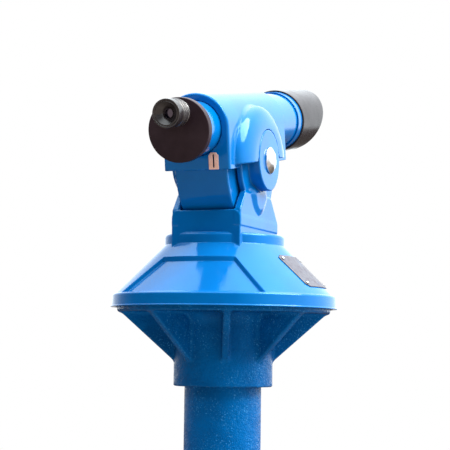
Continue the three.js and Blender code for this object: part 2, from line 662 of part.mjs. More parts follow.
// Grip ring with three raised ribs.
function focusRing() {
  const inner = 22 + GAP;
  const crest = GRIP_R - 0.3;
  const valley = GRIP_R - 2.2;
  const outline = [[inner, CAP_FACE - 5 - GAP], [valley, CAP_FACE - 5 - GAP]];
  for (let i = 0; i < 3; i += 1) {
    const from = CAP_FACE - 8 - 9 * i;
    outline.push([valley, from], [crest, from - 1], [crest, from - 5], [valley, from - 6]);
  }
  return onEye(turned([...outline, [valley, RING_FROM], [inner, RING_FROM]], 24));
}

// Sliding sleeve with the funnel-shaped eye end.
function eyecup() {
  const end = CAP_FACE - 59.5;
  return onEye(turned([
    [16.5, CAP_FACE - 14], [20 - GAP, CAP_FACE - 14], [20 - GAP, RING_FROM - 0.8],
    [GRIP_R - 1, RING_FROM - 0.8], [GRIP_R, RING_FROM - 2.5], [GRIP_R, end + 3],
    [GRIP_R - 2, end], [GRIP_R - 5, end], [9, end + 12], [9, end + 20], [16.5, end + 20],
  ], 24));
}

// Plate with the light stop and the pin bearing of the shutter.
function shutterBulkhead() {
  const plate = disc(REAR_TUBE_R - 4 - GAP, -160, -157);
  return onAxis(cut(plate, disc(10, -170, -150, SMALL), disc(2.5, -170, -150, 12).translate(0, 0, -38)));
}

function shutterBlade() {
  const spindle = disc(2.2, -166, -150, 12).translate(0, 0, -38);
  const flag = disc(12, -163, -161, SMALL);
  const link = block(-4, 4, -163, -161, -40, 0);
  return onAxis(join(flag, link, spindle));
}

function solenoid() {
  const coil = disc(9, -156.5, -132, SMALL).translate(0, 0, -38);
  return onAxis(cut(coil, disc(2.5, -158, -149, 12).translate(0, 0, -38)));
}

function timerUnit() {
  const cover = block(-44, -10, -104, -46, -78, -21);
  const dial = sideways(disc(14, -10.5, -6, SMALL)).translate(0, -75, -50);
  return join(cover, dial);
}

// Shank, cone and domed cap of one pivot bolt.
function pivotBolt() {
  const seat = BOSS_OUT + GAP;
  const capR = 28;
  return sideways(turned([
    [0, DRUM_W - 8], [BOLT_R - 4, DRUM_W - 8], [BOLT_R - 4, DRUM_W + GAP],
    [BOLT_R, DRUM_W + GAP], [BOLT_R, seat],
    [capR, seat], [capR, seat + 3], [capR - 10, seat + 9], [capR - 12, seat + 10], [0, seat + 10.5],
  ], 24));
}

piece(scope, 'saddle_housing', saddleHousing(), 'gloss_blue');
piece(scope, 'drum_shield', drumShield(), 'gloss_blue');
piece(scope, 'cash_door', cashDoor(), 'gloss_blue');
piece(scope, 'cash_lock', cashLock(), 'chrome');
piece(scope, 'cash_box', cashBox(), 'zinc');
piece(scope, 'coin_plate', coinPlate(), 'copper');
piece(scope, 'coin_chute', coinChute(), 'zinc');
piece(scope, 'timer_unit', timerUnit(), 'plastic');
piece(scope, 'pivot_bolt_right', pivotBolt(), 'chrome');
piece(scope, 'pivot_bolt_left', reflected(pivotBolt()), 'chrome');
const thrustWasher = sideways(ring(BOLT_R + 1, 30, DRUM_W + GAP, ARM_IN - GAP, SMALL));
piece(scope, 'friction_washer_right', thrustWasher.clone(), 'bronze');
piece(scope, 'friction_washer_left', reflected(thrustWasher), 'bronze');
piece(scope, 'main_tube', mainTube(), 'gloss_blue');
piece(scope, 'tube_flange_ring', flangeRing(), 'gloss_blue');
piece(scope, 'lens_hood', lensHood(), 'black');
piece(scope, 'objective_cell', objectiveCell(), 'aluminium');
piece(scope, 'objective_crown', onAxis(lens(55, 310.3, 0, 316, 6)), 'glass');
piece(scope, 'objective_flint', onAxis(lens(55, 301, 0, 310, 0)), 'glass');
piece(scope, 'lens_retainer', onAxis(ring(51, 55.4, 317.5, 323, 24)), 'aluminium');
piece(scope, 'shutter_bulkhead', shutterBulkhead(), 'black');
piece(scope, 'shutter_blade', shutterBlade(), 'black');
piece(scope, 'shutter_solenoid', solenoid(), 'steel');
piece(scope, 'prism_holder', prismHolder(), 'aluminium');
piece(scope, 'prism_lower', prism(LOWER_FOOT, HOLDER_BACK - GAP, -1), 'glass');
piece(scope, 'prism_upper', prism(UPPER_FOOT, HOLDER_FRONT + GAP, 1), 'glass');
piece(scope, 'rear_cap', rearCap(), 'black');
piece(scope, 'eyepiece_barrel', eyepieceBarrel(), 'aluminium');
piece(scope, 'focus_ring', focusRing(), 'black');
piece(scope, 'eyecup', eyecup(), 'black');
piece(scope, 'eye_lens', onEye(lens(16.2, CAP_FACE - 36.5, 0, CAP_FACE - 32, 2)), 'glass');

export default telescope;
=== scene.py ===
"""Fine surfaces, materials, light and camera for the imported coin-operated telescope.

Lengths are millimetres until a mesh is made, which turns them into metres. Three places are used:
  FLOOR   heights from the floor, for the pedestal
  HEAD    heights from the skirt's rim, for what pans
  SCOPE   [x, along the optical axis, up] from the tilt axis, for what tilts
"""
import json
import math

import bmesh
import bpy
import numpy as np
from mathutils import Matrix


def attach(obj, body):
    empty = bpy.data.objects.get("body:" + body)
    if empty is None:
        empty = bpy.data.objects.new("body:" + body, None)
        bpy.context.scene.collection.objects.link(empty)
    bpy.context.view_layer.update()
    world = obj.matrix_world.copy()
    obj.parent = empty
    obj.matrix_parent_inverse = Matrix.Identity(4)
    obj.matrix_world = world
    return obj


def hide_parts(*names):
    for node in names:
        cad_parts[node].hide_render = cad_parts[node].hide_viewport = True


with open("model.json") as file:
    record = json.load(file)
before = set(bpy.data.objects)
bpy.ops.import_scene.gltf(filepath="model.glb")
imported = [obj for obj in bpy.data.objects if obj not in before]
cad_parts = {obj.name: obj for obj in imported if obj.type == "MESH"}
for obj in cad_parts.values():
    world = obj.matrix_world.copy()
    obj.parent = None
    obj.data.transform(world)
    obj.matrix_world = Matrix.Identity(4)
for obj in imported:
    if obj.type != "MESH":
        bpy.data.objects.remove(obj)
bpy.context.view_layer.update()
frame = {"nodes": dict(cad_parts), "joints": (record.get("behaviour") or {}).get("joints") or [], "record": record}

import openvdb
from mathutils import Matrix, Vector

MM = 0.001

# ---- places from the frame, and sizes in millimetres ----
JOINTS = {joint["name"]: joint for joint in frame["joints"]}
RIM_Z = JOINTS["head_pan"]["pos_m"][2] / MM
PIVOT_Z = JOINTS["scope_tilt"]["pos_m"][2] / MM
PIVOT_H = PIVOT_Z - RIM_Z
AIM = -Vector(JOINTS["focus_turn"]["axis"])
EYE_POINT = Vector(JOINTS["focus_turn"]["pos_m"]) / MM - Vector((0, 0, PIVOT_Z))
UP = Vector((1, 0, 0)).cross(AIM)
EYE_H = EYE_POINT.dot(UP)

FLOOR = Matrix.Identity(4)
HEAD = Matrix.Translation((0, 0, RIM_Z))
TILT = Matrix(((1, 0, 0), (0, AIM.y, UP.y), (0, AIM.z, UP.z))).to_4x4()
SCOPE = Matrix.Translation((0, 0, PIVOT_Z)) @ TILT

ANCHORS, ANCHOR_CIRCLE = 6, 160
COLUMN_R = 80
COLLAR_R = 103
COLLAR_DROP = 162
RIM_R = 237
RIB_COUNT = 8
RIB_T = 15
RING_TOP = 152
RECESS = 9.9                        # how far the front panel is sunk, measured level
PANEL_TURN = -1.8                   # the panel sits a little off the mid plane, in degrees
CONE_SUM = 256.1                    # radius plus height, anywhere on the 45 degree cone
PANEL_TOP = 100.5
PANEL_FOOT_HALF, PANEL_TOP_HALF = 157, 79
PANEL_LEAN = 7.5                    # how far the panel's floor stands in from its outline
PLATE_R, PLATE_Z = 213.3, 42.8      # lower edge of the nameplate on the cone
ARM_IN, EYE_OUT, BOSS_OUT = 60, 72, 98
EYE_R, BOSS_R = 104, 64
FORK_W = 75
FORK_FRONT, FORK_BACK, FORK_TOP = -111.5, 122, 198
LEDGE, LEDGE_HALF = PIVOT_H - 72, 79   # top of the fork arms' thicker feet
EAR_FOOT_R, EAR_FACE_R, EAR_OUT, EAR_SQUASH = 140, 97, 97, 0.82
DRUM_R, DRUM_W = 148, 57
AXIS_H = 76
SADDLE_W = 71.3
SADDLE_FRONT, SADDLE_BACK, SADDLE_FOOT = -167, 193, -8
WALL = 5
TUBE_R, REAR_TUBE_R = 64, 55.5
TUBE_FRONT, TUBE_STEP, CAP_FACE = 333, -125, -255
HOOD_R, HOOD_TOP, HOOD_FOOT = 71, 536.5, 431
COIN_X, COIN_H = 37, 10
DOOR_FROM, DOOR_TO, DOOR_W = -15, -50, 43
GAP = 0.3
GRIP_R = 28.5                       # outer radius of the eyecup

FINE = 2.6     # grid pitch of the cast surfaces
TURNS = 192   # steps round the turned surfaces


# ---- node helpers ----
def smooth_step(nodes, links, value, low, high, to_low, to_high):
    """A node that turns the range from low to high smoothly into the range from to_low to to_high."""
    node = nodes.new("ShaderNodeMapRange")
    node.interpolation_type = "SMOOTHSTEP"
    links.new(value, node.inputs["Value"])
    for name, number in (("From Min", low), ("From Max", high), ("To Min", to_low), ("To Max", to_high)):
        node.inputs[name].default_value = number
    return node.outputs["Result"]


class Tree:
    """A new material's node tree, with one call per kind of node."""

    def __init__(self, name):
        self.material = bpy.data.materials.new(name)
        self.material.use_nodes = True
        self.nodes = self.material.node_tree.nodes
        self.links = self.material.node_tree.links
        self.shader = self.nodes["Principled BSDF"]
        self.place = self.nodes.new("ShaderNodeTexCoord").outputs["Object"]
        self.geometry = self.nodes.new("ShaderNodeNewGeometry").outputs

    def put(self, socket, value):
        if isinstance(value, bpy.types.NodeSocket):
            self.links.new(value, socket)
        else:
            socket.default_value = value

    def set(self, **values):
        for name, value in values.items():
            self.put(self.shader.inputs[name.replace("_", " ")], value)
        return self.material

    def noise(self, size, detail=3, roughness=0.55, stretch=(1, 1, 1)):
        """Noise whose features are about `size` millimetres across."""
        mapping = self.nodes.new("ShaderNodeMapping")
        self.links.new(self.place, mapping.inputs["Vector"])
        mapping.inputs["Scale"].default_value = [1 / (size * MM) * s for s in stretch]
        node = self.nodes.new("ShaderNodeTexNoise")
        self.links.new(mapping.outputs[0], node.inputs["Vector"])
        node.inputs["Scale"].default_value = 1
        node.inputs["Detail"].default_value = detail
        node.inputs["Roughness"].default_value = roughness
        return node.outputs["Fac"]

    def spread(self, value, low, high, to_low=0.0, to_high=1.0):
        return smooth_step(self.nodes, self.links, value, low, high, to_low, to_high)

    def math(self, operation, first, second):
        node = self.nodes.new("ShaderNodeMath")
        node.operation = operation
        self.put(node.inputs[0], first)
        self.put(node.inputs[1], second)
        return node.outputs[0]

    def times(self, first, second):
        return self.math("MULTIPLY", first, second)

    def mix(self, factor, first, second):
        node = self.nodes.new("ShaderNodeMix")
        node.data_type = "RGBA"
        self.put(node.inputs["Factor"], factor)
        for socket, colour in ((node.inputs["A"], first), (node.inputs["B"], second)):
            target = [s for s in node.inputs if s.name == socket.name and s.type == "RGBA"][0]
            self.put(target, colour if isinstance(colour, bpy.types.NodeSocket) else (*colour, 1))
        return [s for s in node.outputs if s.type == "RGBA"][0]

    def facing_up(self):
        node = self.nodes.new("ShaderNodeSeparateXYZ")
        self.links.new(self.geometry["Normal"], node.inputs[0])
        return node.outputs["Z"]

    def relief(self, height, depth, before=None):
        """A bump of `depth` millimetres."""
        node = self.nodes.new("ShaderNodeBump")
        self.put(node.inputs["Height"], height)
        node.inputs["Strength"].default_value = 1
        node.inputs["Distance"].default_value = depth * MM
        if before is not None:
            self.links.new(before, node.inputs["Normal"])
        return node.outputs["Normal"]


# ---- materials ----
def enamel(name, colour, deep, grain, grain_depth, roughness, level, tint, glint_share):
    """Azure enamel: uneven colour, light spots painted in as glints on the cast grain, dust on the ledges, painted
    shade in the creases, chipped edges and an orange-peel surface.
    """
    t = Tree(name)
    body = t.mix(t.spread(t.noise(90, 4), 0.35, 0.68), colour, deep)
    # painted highlight: light azure spots stand in for glints of light on the cast grain, in the share set by the
    # last argument
    painted_glints = t.times(t.spread(t.noise(3.2, 3, 0.6), 0.56, 0.70), t.spread(t.noise(60, 3), 0.35, 0.62))
    glint_painted = t.mix(t.times(painted_glints, glint_share), body, (0.07, 0.36, 0.78))
    faded = t.mix(t.times(t.spread(t.facing_up(), 0.55, 0.98), 0.05), glint_painted, (0.15, 0.45, 0.80))
    edges = t.spread(t.geometry["Pointiness"], 0.53, 0.60)
    worn = t.times(edges, t.spread(t.noise(7, 5), 0.50, 0.60))
    edged = t.mix(t.times(worn, 0.25), faded, (0.20, 0.42, 0.66))
    # painted shade: concave creases and seams are darkened towards deep navy, as if shaded
    corners = t.spread(t.geometry["Pointiness"], 0.49, 0.43)
    painted_shade = t.times(corners, t.spread(t.noise(22, 4), 0.3, 0.7))
    shade_in_creases = t.mix(t.times(painted_shade, 0.4), edged, (0.008, 0.030, 0.075))
    chips = t.times(t.spread(t.noise(2.6, 2), 0.735, 0.755), t.spread(t.noise(60, 2), 0.45, 0.6))
    chipped = t.mix(chips, shade_in_creases, (0.035, 0.045, 0.060))
    peel = t.relief(t.noise(grain, 2, 0.45), grain_depth)
    peel = t.relief(t.noise(grain * 5, 2), grain_depth * 1.4, peel)
    haze = t.spread(t.noise(34, 4), 0.3, 0.75, roughness, roughness * 2)
    shine = t.math("ADD", haze, t.times(chips, 0.3))
    return t.set(Base_Color=chipped, Roughness=shine, Normal=peel, Specular_IOR_Level=level,
                 Specular_Tint=tint)


def black_enamel(name, colour, dusty, roughness, level):
    """Black enamel: uneven colour, pale dust on top and scuffed edges."""
    t = Tree(name)
    body = t.mix(t.spread(t.noise(40, 5), 0.35, 0.7), colour, dusty)
    patches = t.spread(t.noise(12, 5), 0.35, 0.75, 0.1, 0.35)
    dust = t.times(t.spread(t.facing_up(), 0.3, 0.95), patches)
    top = t.mix(dust, body, (0.115, 0.105, 0.130))
    edges = t.spread(t.geometry["Pointiness"], 0.53, 0.6)
    scuffs = t.times(edges, t.spread(t.noise(5, 4), 0.48, 0.62))
    edged = t.mix(t.times(scuffs, 0.5), top, (0.20, 0.19, 0.20))
    shine = t.spread(t.noise(25, 4), 0.3, 0.7, roughness, roughness + 0.10)
    skin = t.relief(t.noise(30, 2), 0.03)
    return t.set(Base_Color=edged, Roughness=shine, Normal=skin, Specular_IOR_Level=level)


def metal(name, colour, dark, roughness, brushed=(1, 1, 1), polish=0.0, metallic=1.0):
    """Bare metal: uneven tone, painted shade in the corners, rust-brown spots and fine brushed lines."""
    t = Tree(name)
    body = t.mix(t.spread(t.noise(18, 5), 0.35, 0.72), colour, dark)
    # painted shade: concave corners are darkened, as if shaded
    painted_shade = t.spread(t.geometry["Pointiness"], 0.49, 0.42, 0.0, 0.8)
    shade_in_creases = t.mix(painted_shade, body, [c * 0.25 for c in dark])
    spots = t.times(t.spread(t.noise(2.2, 3), 0.66, 0.74), 1 - polish)
    spotted = t.mix(t.times(spots, 0.6), shade_in_creases, (0.16, 0.10, 0.06))
    shine = t.spread(t.noise(9, 4), 0.3, 0.72, roughness, roughness + 0.18)
    lines = t.relief(t.noise(1.4, 2, 0.6, brushed), 0.02)
    return t.set(Base_Color=spotted, Metallic=metallic, Roughness=shine, Normal=lines)


def rubber(name):
    """Smooth black plastic with greyish bloom on its edges."""
    t = Tree(name)
    body = t.mix(t.spread(t.noise(11, 4), 0.35, 0.7), (0.016, 0.013, 0.015), (0.030, 0.026, 0.029))
    bloom = t.mix(t.spread(t.geometry["Pointiness"], 0.51, 0.58, 0.0, 0.35), body, (0.22, 0.21, 0.23))
    return t.set(Base_Color=bloom, Roughness=t.spread(t.noise(8, 3), 0.3, 0.7, 0.12, 0.22),
                 Normal=t.relief(t.noise(0.9, 2), 0.03))


def glass(name, tint):
    """Coated lens: a dark mirror-like face with a faint coloured bloom."""
    t = Tree(name)
    haze = t.mix(t.spread(t.noise(14, 4), 0.4, 0.75), tint, [c * 1.8 + 0.01 for c in tint])
    smears = t.spread(t.noise(5, 4), 0.35, 0.8, 0.02, 0.14)
    return t.set(Base_Color=haze, Roughness=smears, Specular_IOR_Level=0.8, Coat_Weight=1.0,
                 Coat_Roughness=0.02, Coat_Tint=(0.75, 0.62, 1.0, 1.0))


def label_metal(name):
    """Sun-bleached plate: pale metal with the soft remains of a worn-off print, no lettering."""
    t = Tree(name)
    body = t.mix(t.spread(t.noise(16, 5, 0.6), 0.40, 0.62), (0.095, 0.095, 0.120), (0.068, 0.060, 0.084))
    print_left = t.spread(t.noise(7, 4, 0.7, (0.5, 0.5, 1.6)), 0.56, 0.66, 0.0, 0.45)
    faded = t.mix(print_left, body, (0.05, 0.042, 0.065))
    blue = t.mix(t.spread(t.noise(26, 3), 0.60, 0.70, 0.0, 0.4), faded, (0.035, 0.085, 0.19))
    return t.set(Base_Color=blue, Metallic=0.1, Roughness=t.spread(t.noise(10, 4), 0.3, 0.7, 0.36, 0.55),
                 Normal=t.relief(t.noise(2.2, 3), 0.04))


MATERIALS = {
    "gloss_blue_enamel": enamel(
        "gloss_blue_enamel", (0.0, 0.144, 0.465), (0.0, 0.122, 0.410),
        grain=3.2, grain_depth=0.02, roughness=0.07, level=0.5, tint=(0.30, 0.65, 1, 1), glint_share=0),
    # the cast finish gets the painted highlight spots for glints on its grain (last argument)
    "cast_blue_enamel": enamel(
        "cast_blue_enamel", (0.0, 0.126, 0.42), (0.0, 0.088, 0.31),
        grain=2.8, grain_depth=1.3, roughness=0.16, level=0.25, tint=(0.10, 0.50, 1, 1), glint_share=0.8),
    "black_enamel": black_enamel("black_enamel", (0.018, 0.014, 0.017), (0.026, 0.021, 0.025), 0.14, 0.12),
    "black_plastic": rubber("black_plastic"),
    "chromed_steel": metal("chromed_steel", (0.82, 0.82, 0.83), (0.55, 0.55, 0.57), 0.10, polish=0.9),
    "machined_steel": metal("machined_steel", (0.52, 0.54, 0.56), (0.34, 0.35, 0.37), 0.28, (1, 1, 6)),
    "zinc_plated_steel": metal("zinc_plated_steel", (0.60, 0.61, 0.60), (0.38, 0.39, 0.38), 0.36),
    "copper_plate": metal("copper_plate", (0.95, 0.62, 0.52), (0.78, 0.48, 0.38), 0.26, (5, 1, 1), 0.5, 0.25),
    "bearing_bronze": metal("bearing_bronze", (0.60, 0.42, 0.20), (0.38, 0.25, 0.11), 0.30, (1, 6, 1)),
    "aluminium": metal("aluminium", (0.66, 0.67, 0.68), (0.44, 0.45, 0.46), 0.32, (1, 6, 1), 0.4),
    "optical_glass": glass("optical_glass", (0.010, 0.012, 0.020)),
}
LABEL = label_metal("nameplate_metal")
CAP_BLACK = black_enamel("cap_black", (0.024, 0.014, 0.020), (0.034, 0.021, 0.029), 0.34, 0.12)


# ---- mesh helpers ----
BODY_OF = {node: body for body, nodes in frame["record"]["behaviour"]["bodies"].items() for node in nodes}


def object_of(name, points, faces, place):
    """A smooth-shaded object from points in millimetres in the given place."""
    spots = np.c_[np.asarray(points, float), np.ones(len(points))] @ np.array(place).T
    mesh = bpy.data.meshes.new(name)
    mesh.from_pydata((spots[:, :3] * MM).tolist(), [], [list(face) for face in faces])
    mesh.validate()
    mesh.shade_smooth()
    piece = bpy.data.objects.new(name, mesh)
    bpy.context.scene.collection.objects.link(piece)
    return piece


def stands_for(piece, slot, *nodes, material=None):
    """Gives a piece its finish, lets it ride on its node's body and hides the nodes it replaces."""
    piece.data.materials.append(material or MATERIALS[slot])
    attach(piece, BODY_OF[nodes[0]])
    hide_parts(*nodes)
    return piece


def rides_along(piece, slot, body):
    """Gives a second piece of a node its finish and lets it ride on the same body."""
    piece.data.materials.append(MATERIALS[slot])
    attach(piece, body)


def between(rows, turns, closed=True):
    """Faces between rows of `turns` points each; if closed, the last row is joined to the first."""
    faces = []
    for row in range(rows if closed else rows - 1):
        low, high = row * turns, (row + 1) % rows * turns
        for i in range(turns):
            j = (i + 1) % turns
            faces.append((low + i, low + j, high + j, high + i))
    return faces


def eased(points, radius, steps=4):
    """Rounds each inner corner of an open outline by an arc-like curve of about the given radius."""
    out = [points[0]]
    for before, corner, after in zip(points, points[1:], points[2:]):
        b, c, a = (np.array(p[:2], float) for p in (before, corner, after))
        own = corner[2] if len(corner) > 2 else radius
        back, on = np.linalg.norm(b - c), np.linalg.norm(a - c)
        reach = min(own, 0.45 * back, 0.45 * on)
        if reach < 0.05:
            out.append(corner[:2])
            continue
        start, end = c + (b - c) / back * reach, c + (a - c) / on * reach
        for i in range(steps + 1):
            k = i / steps
            out.append(tuple((1 - k) ** 2 * start + 2 * k * (1 - k) * c + k * k * end))
    out.append(points[-1][:2])
    return [tuple(p[:2]) for p in out]


def lathe(name, outline, axis, place, radius=1.0, turns=TURNS, centre=(0, 0, 0), closed=True):
    """An outline of [radius, along] points turned about the X, Y or Z axis through `centre`."""
    profile = [tuple(p) for p in outline]
    if closed and profile[0][0] > 0:
        middle = tuple((np.array(profile[0][:2]) + np.array(profile[-1][:2])) / 2)
        profile = [middle] + profile + [middle]
    profile = eased(profile, radius)
    ringed = closed and profile[0] == profile[-1] and profile[0][0] > 0
    if ringed:
        profile.pop()
    angles = np.arange(turns) * 2 * math.pi / turns
    points, rows = [], []
    for r, along in profile:
        if r < 1e-6:
            rows.append([len(points)])
            points.append((0, 0, along))
        else:
            rows.append(list(range(len(points), len(points) + turns)))
            points += [(r * math.cos(a), r * math.sin(a), along) for a in angles]
    faces = []
    pairs = list(zip(rows, rows[1:])) + ([(rows[-1], rows[0])] if ringed else [])
    for low, high in pairs:
        for i in range(turns):
            j = (i + 1) % turns
            if len(low) == 1 and len(high) == 1:
                continue
            if len(low) == 1:
                faces.append((low[0], high[j], high[i]))
            elif len(high) == 1:
                faces.append((low[i], low[j], high[0]))
            else:
                faces.append((low[i], low[j], high[j], high[i]))
    spots = np.array(points, float)
    moved = np.empty_like(spots)
    for source, target in enumerate({"X": (1, 2, 0), "Y": (2, 0, 1), "Z": (0, 1, 2)}[axis]):
        moved[:, target] = spots[:, source]
    piece = object_of(name, moved + np.array(centre, float), faces, place)
    outward(piece)
    weigh(piece)
    return piece


def outward(piece):
    """Turns every face of a closed piece outward."""
    grid = bmesh.new()
    grid.from_mesh(piece.data)
    bmesh.ops.recalc_face_normals(grid, faces=grid.faces)
    if grid.calc_volume(signed=True) < 0:
        bmesh.ops.reverse_faces(grid, faces=grid.faces)
    grid.to_mesh(piece.data)
    grid.free()


def weigh(piece):
    """Keeps broad faces flat and lets only the narrow rounded edges bend the light."""
    flat = piece.modifiers.new("flat faces", "WEIGHTED_NORMAL")
    flat.weight = 90
    flat.keep_sharp = True


def soften(piece, width, segments=3):
    """Rounds the sharp edges of a piece to about the given width."""
    bevel = piece.modifiers.new("rounded edges", "BEVEL")
    bevel.width = width * MM
    bevel.segments = segments
    bevel.limit_method = "ANGLE"
    bevel.angle_limit = math.radians(28)
    weigh(piece)
    return piece


# ---- distance fields, for the castings ----
def both(a, b, r=0.0):
    """Where a and b overlap, with the edge rounded to radius r."""
    if r == 0:
        return np.maximum(a, b)
    return np.minimum(np.maximum(a, b), -r) + np.hypot(np.maximum(a + r, 0), np.maximum(b + r, 0))


def either(a, b, r=0.0):
    """a and b together, with a fillet of radius r where they meet."""
    if r == 0:
        return np.minimum(a, b)
    return np.maximum(np.minimum(a, b), r) - np.hypot(np.maximum(r - a, 0), np.maximum(r - b, 0))


def without(a, b, r=0.0):
    return both(a, -b, r)


def slab(value, low, high):
    return np.maximum(low - value, value - high)


def convex(u, v, outline, r=0.0):
    """A convex outline, given anticlockwise in (u, v)."""
    whole = None
    for (u0, v0), (u1, v1) in zip(outline, outline[1:] + outline[:1]):
        length = math.hypot(u1 - u0, v1 - v0)
        edge = ((u - u0) * (v1 - v0) - (v - v0) * (u1 - u0)) / length
        whole = edge if whole is None else both(whole, edge, r)
    return whole


def enlarged(coarse, step):
    """Repeats each coarse value along every axis, and the last ones once more."""
    for axis in range(3):
        coarse = np.repeat(coarse, step, axis)
    return np.pad(coarse, ((0, 1), (0, 1), (0, 1)), mode="edge")


def surface(shape, low, high, pitch):
    """Points and quads of the surface, from a grid that is fine only where the surface runs."""
    step = 4
    low = np.array(low, float) - 2 * pitch
    counts = [int(math.ceil((h + 2 * pitch - l) / pitch / step)) * step + 1 for l, h in zip(low, high)]
    coarse = [low[i] + (np.arange((counts[i] - 1) // step) + 0.5) * step * pitch for i in range(3)]
    distances = shape(*np.meshgrid(*coarse, indexing="ij"))
    values = enlarged(distances, step)
    chosen = enlarged(np.abs(distances) < 1.15 * step * pitch, step)
    for axis in range(3):
        chosen = chosen | np.roll(chosen, 1, axis)
    spots = np.argwhere(chosen)
    values[chosen] = shape(*(low[i] + spots[:, i] * pitch for i in range(3)))
    grid = openvdb.FloatGrid(2 * pitch)
    grid.copyFromArray(values.astype(np.float32))
    points, quads = grid.convertToQuads(0.0)
    return low + points.astype(float) * pitch, quads


def slope(shape, points):
    """The way in which the distance grows fastest, at each point."""
    reach = 0.05
    parts = []
    for i in range(3):
        ahead, behind = points.copy(), points.copy()
        ahead[:, i] += reach
        behind[:, i] -= reach
        parts.append((shape(*ahead.T) - shape(*behind.T)) / (2 * reach))
    return np.stack(parts, 1)


def casting(name, shape, low, high, place, pitch=FINE):
    """Meshes the surface where shape(x, y, z) is zero, inside the box from low to high."""
    points, quads = surface(shape, low, high, pitch)
    for _ in range(3):
        gradient = slope(shape, points)
        size = np.maximum((gradient ** 2).sum(1), 0.2)
        move = (shape(*points.T) / size)[:, None] * gradient
        points -= np.clip(move, -0.6 * pitch, 0.6 * pitch)
    normals = slope(shape, points)
    normals /= np.maximum(np.linalg.norm(normals, axis=1), 1e-6)[:, None]
    piece = object_of(name, points, quads, place)
    turn = np.array(place)[:3, :3]
    face = piece.data.polygons[0]
    if face.normal.dot(Vector(turn @ normals[face.vertices[0]])) < 0:
        piece.data.flip_normals()
    piece.data.normals_split_custom_set_from_vertices((normals @ turn.T).tolist())
    return piece


# ---- pedestal ----
def skirt_reach(r, z, grow=0.0):
    """Signed distance to the outside of the skirt, heights from the rim."""
    cone = both((r + z - CONE_SUM - 1.414 * grow) / 1.4142, slab(z, 26, 135), 0)
    crown = both(r - 126 - grow, z - RING_TOP - grow, 8)
    rim = both(r - 233 - grow, z - 27 - grow, 2)
    return either(either(crown, cone), rim)


def collar_shape(x, y, z):
    """Collar with eight ribs under its plate and a seat for the bearing, bored for column and spindle."""
    r = np.hypot(x, y)
    h = z - RIM_Z
    hub = both(r - COLLAR_R, slab(h, -COLLAR_DROP, 0), 3)
    plate = both(r - 222, slab(h, -9, 8), 3)
    flare = both(hub, h, 0)
    body = either(flare, plate, 30)
    seat = both(r - 60, h - 20, 2)
    turn = 2 * math.pi / RIB_COUNT
    local = np.mod(np.arctan2(y, x), turn) - turn / 2
    across, along = r * np.sin(local), r * np.cos(local)
    rib = convex(along, h, [(85, -114), (104, -109.5), (221, -5), (221, 2), (85, 2)], 3)
    rib = both(rib, slab(across, -RIB_T / 2, RIB_T / 2), 3.5)
    body = either(body, rib, 7)
    body = either(body, both(seat, -h), 2)
    bore = either(both(r - 25.5, h - 30), both(r - COLUMN_R - GAP, h + 44))
    return without(body, bore, 1.5)


def pedestal():
    column = lathe("column", [(74, 31), (80, 31), (80, RIM_Z - 45), (74, RIM_Z - 45)], "Z", FLOOR)
    stands_for(column, "cast_blue_enamel", "column_tube")
    low, high = (-222, -222, RIM_Z - COLLAR_DROP), (222, 222, RIM_Z + 20)
    collar = casting("collar", collar_shape, low, high, FLOOR, FINE * 1.15)
    stands_for(collar, "cast_blue_enamel", "collar_casting")
    foot = [(0, 0), (195, 0, 2), (195, 22, 5), (126, 22, 24), (103, 46, 22), (103, 120, 5),
            (80.3, 120, 1), (80.3, 30), (0, 30)]
    stands_for(lathe("floor_flange", foot, "Z", FLOOR), "cast_blue_enamel", "base_flange")
    for i in range(ANCHORS):
        anchor(i)


def anchor(index):
    """Threaded stud with its washer, and the nut on it."""
    angle = 2 * math.pi * (index + 0.5) / ANCHORS
    place = Matrix.Rotation(angle, 4, "Z") @ Matrix.Translation((ANCHOR_CIRCLE, 0, 0))
    outline = [(0, 1), (7.6, 1), (7.6, 22.3), (17, 22.3, 0.6), (17, 25.3, 0.6), (7.9, 25.3)]
    for turn in range(9):
        base = 38.5 + turn * 1.0
        outline += [(8.0, base, 0.1), (7.2, base + 0.5, 0.1)]
    stud = lathe(f"anchor_stud_{index + 1}", outline + [(7, 47.3, 1), (0, 47.3)], "Z", place, 0.3, 48)
    nut = hexagon_nut(f"anchor_nut_{index + 1}", 24, 25.4, 38.4, 8.2, place)
    stands_for(stud, "zinc_plated_steel", f"anchor_bolt_{index + 1}")
    rides_along(nut, "zinc_plated_steel", "pedestal")


def from_flat(angle):
    """Angle from the middle of the nearest side of a hexagon."""
    return (angle + math.pi / 6) % (math.pi / 3) - math.pi / 6


def hexagon_nut(name, flats, low, high, bore, place):
    """Hexagon nut with its corners chamfered by a cone on both faces."""
    turns = 96
    levels = [(low, "bore"), (low, "face"), (low + 0.6, "side"), (high - 0.6, "side"), (high, "face"),
              (high, "bore")]
    points = []
    for level, kind in levels:
        for i in range(turns):
            angle = 2 * math.pi * i / turns
            side = flats / 2 / math.cos(from_flat(angle))
            drop = (side - flats / 2) * 0.55
            height = level
            if kind == "side":
                height += drop if level < (low + high) / 2 else -drop
            r = {"bore": bore, "face": flats / 2 * 0.955, "side": side}[kind]
            points.append((r * math.cos(angle), r * math.sin(angle), height))
    piece = object_of(name, points, between(len(levels), turns), place)
    outward(piece)
    return soften(piece, 0.5, 2)


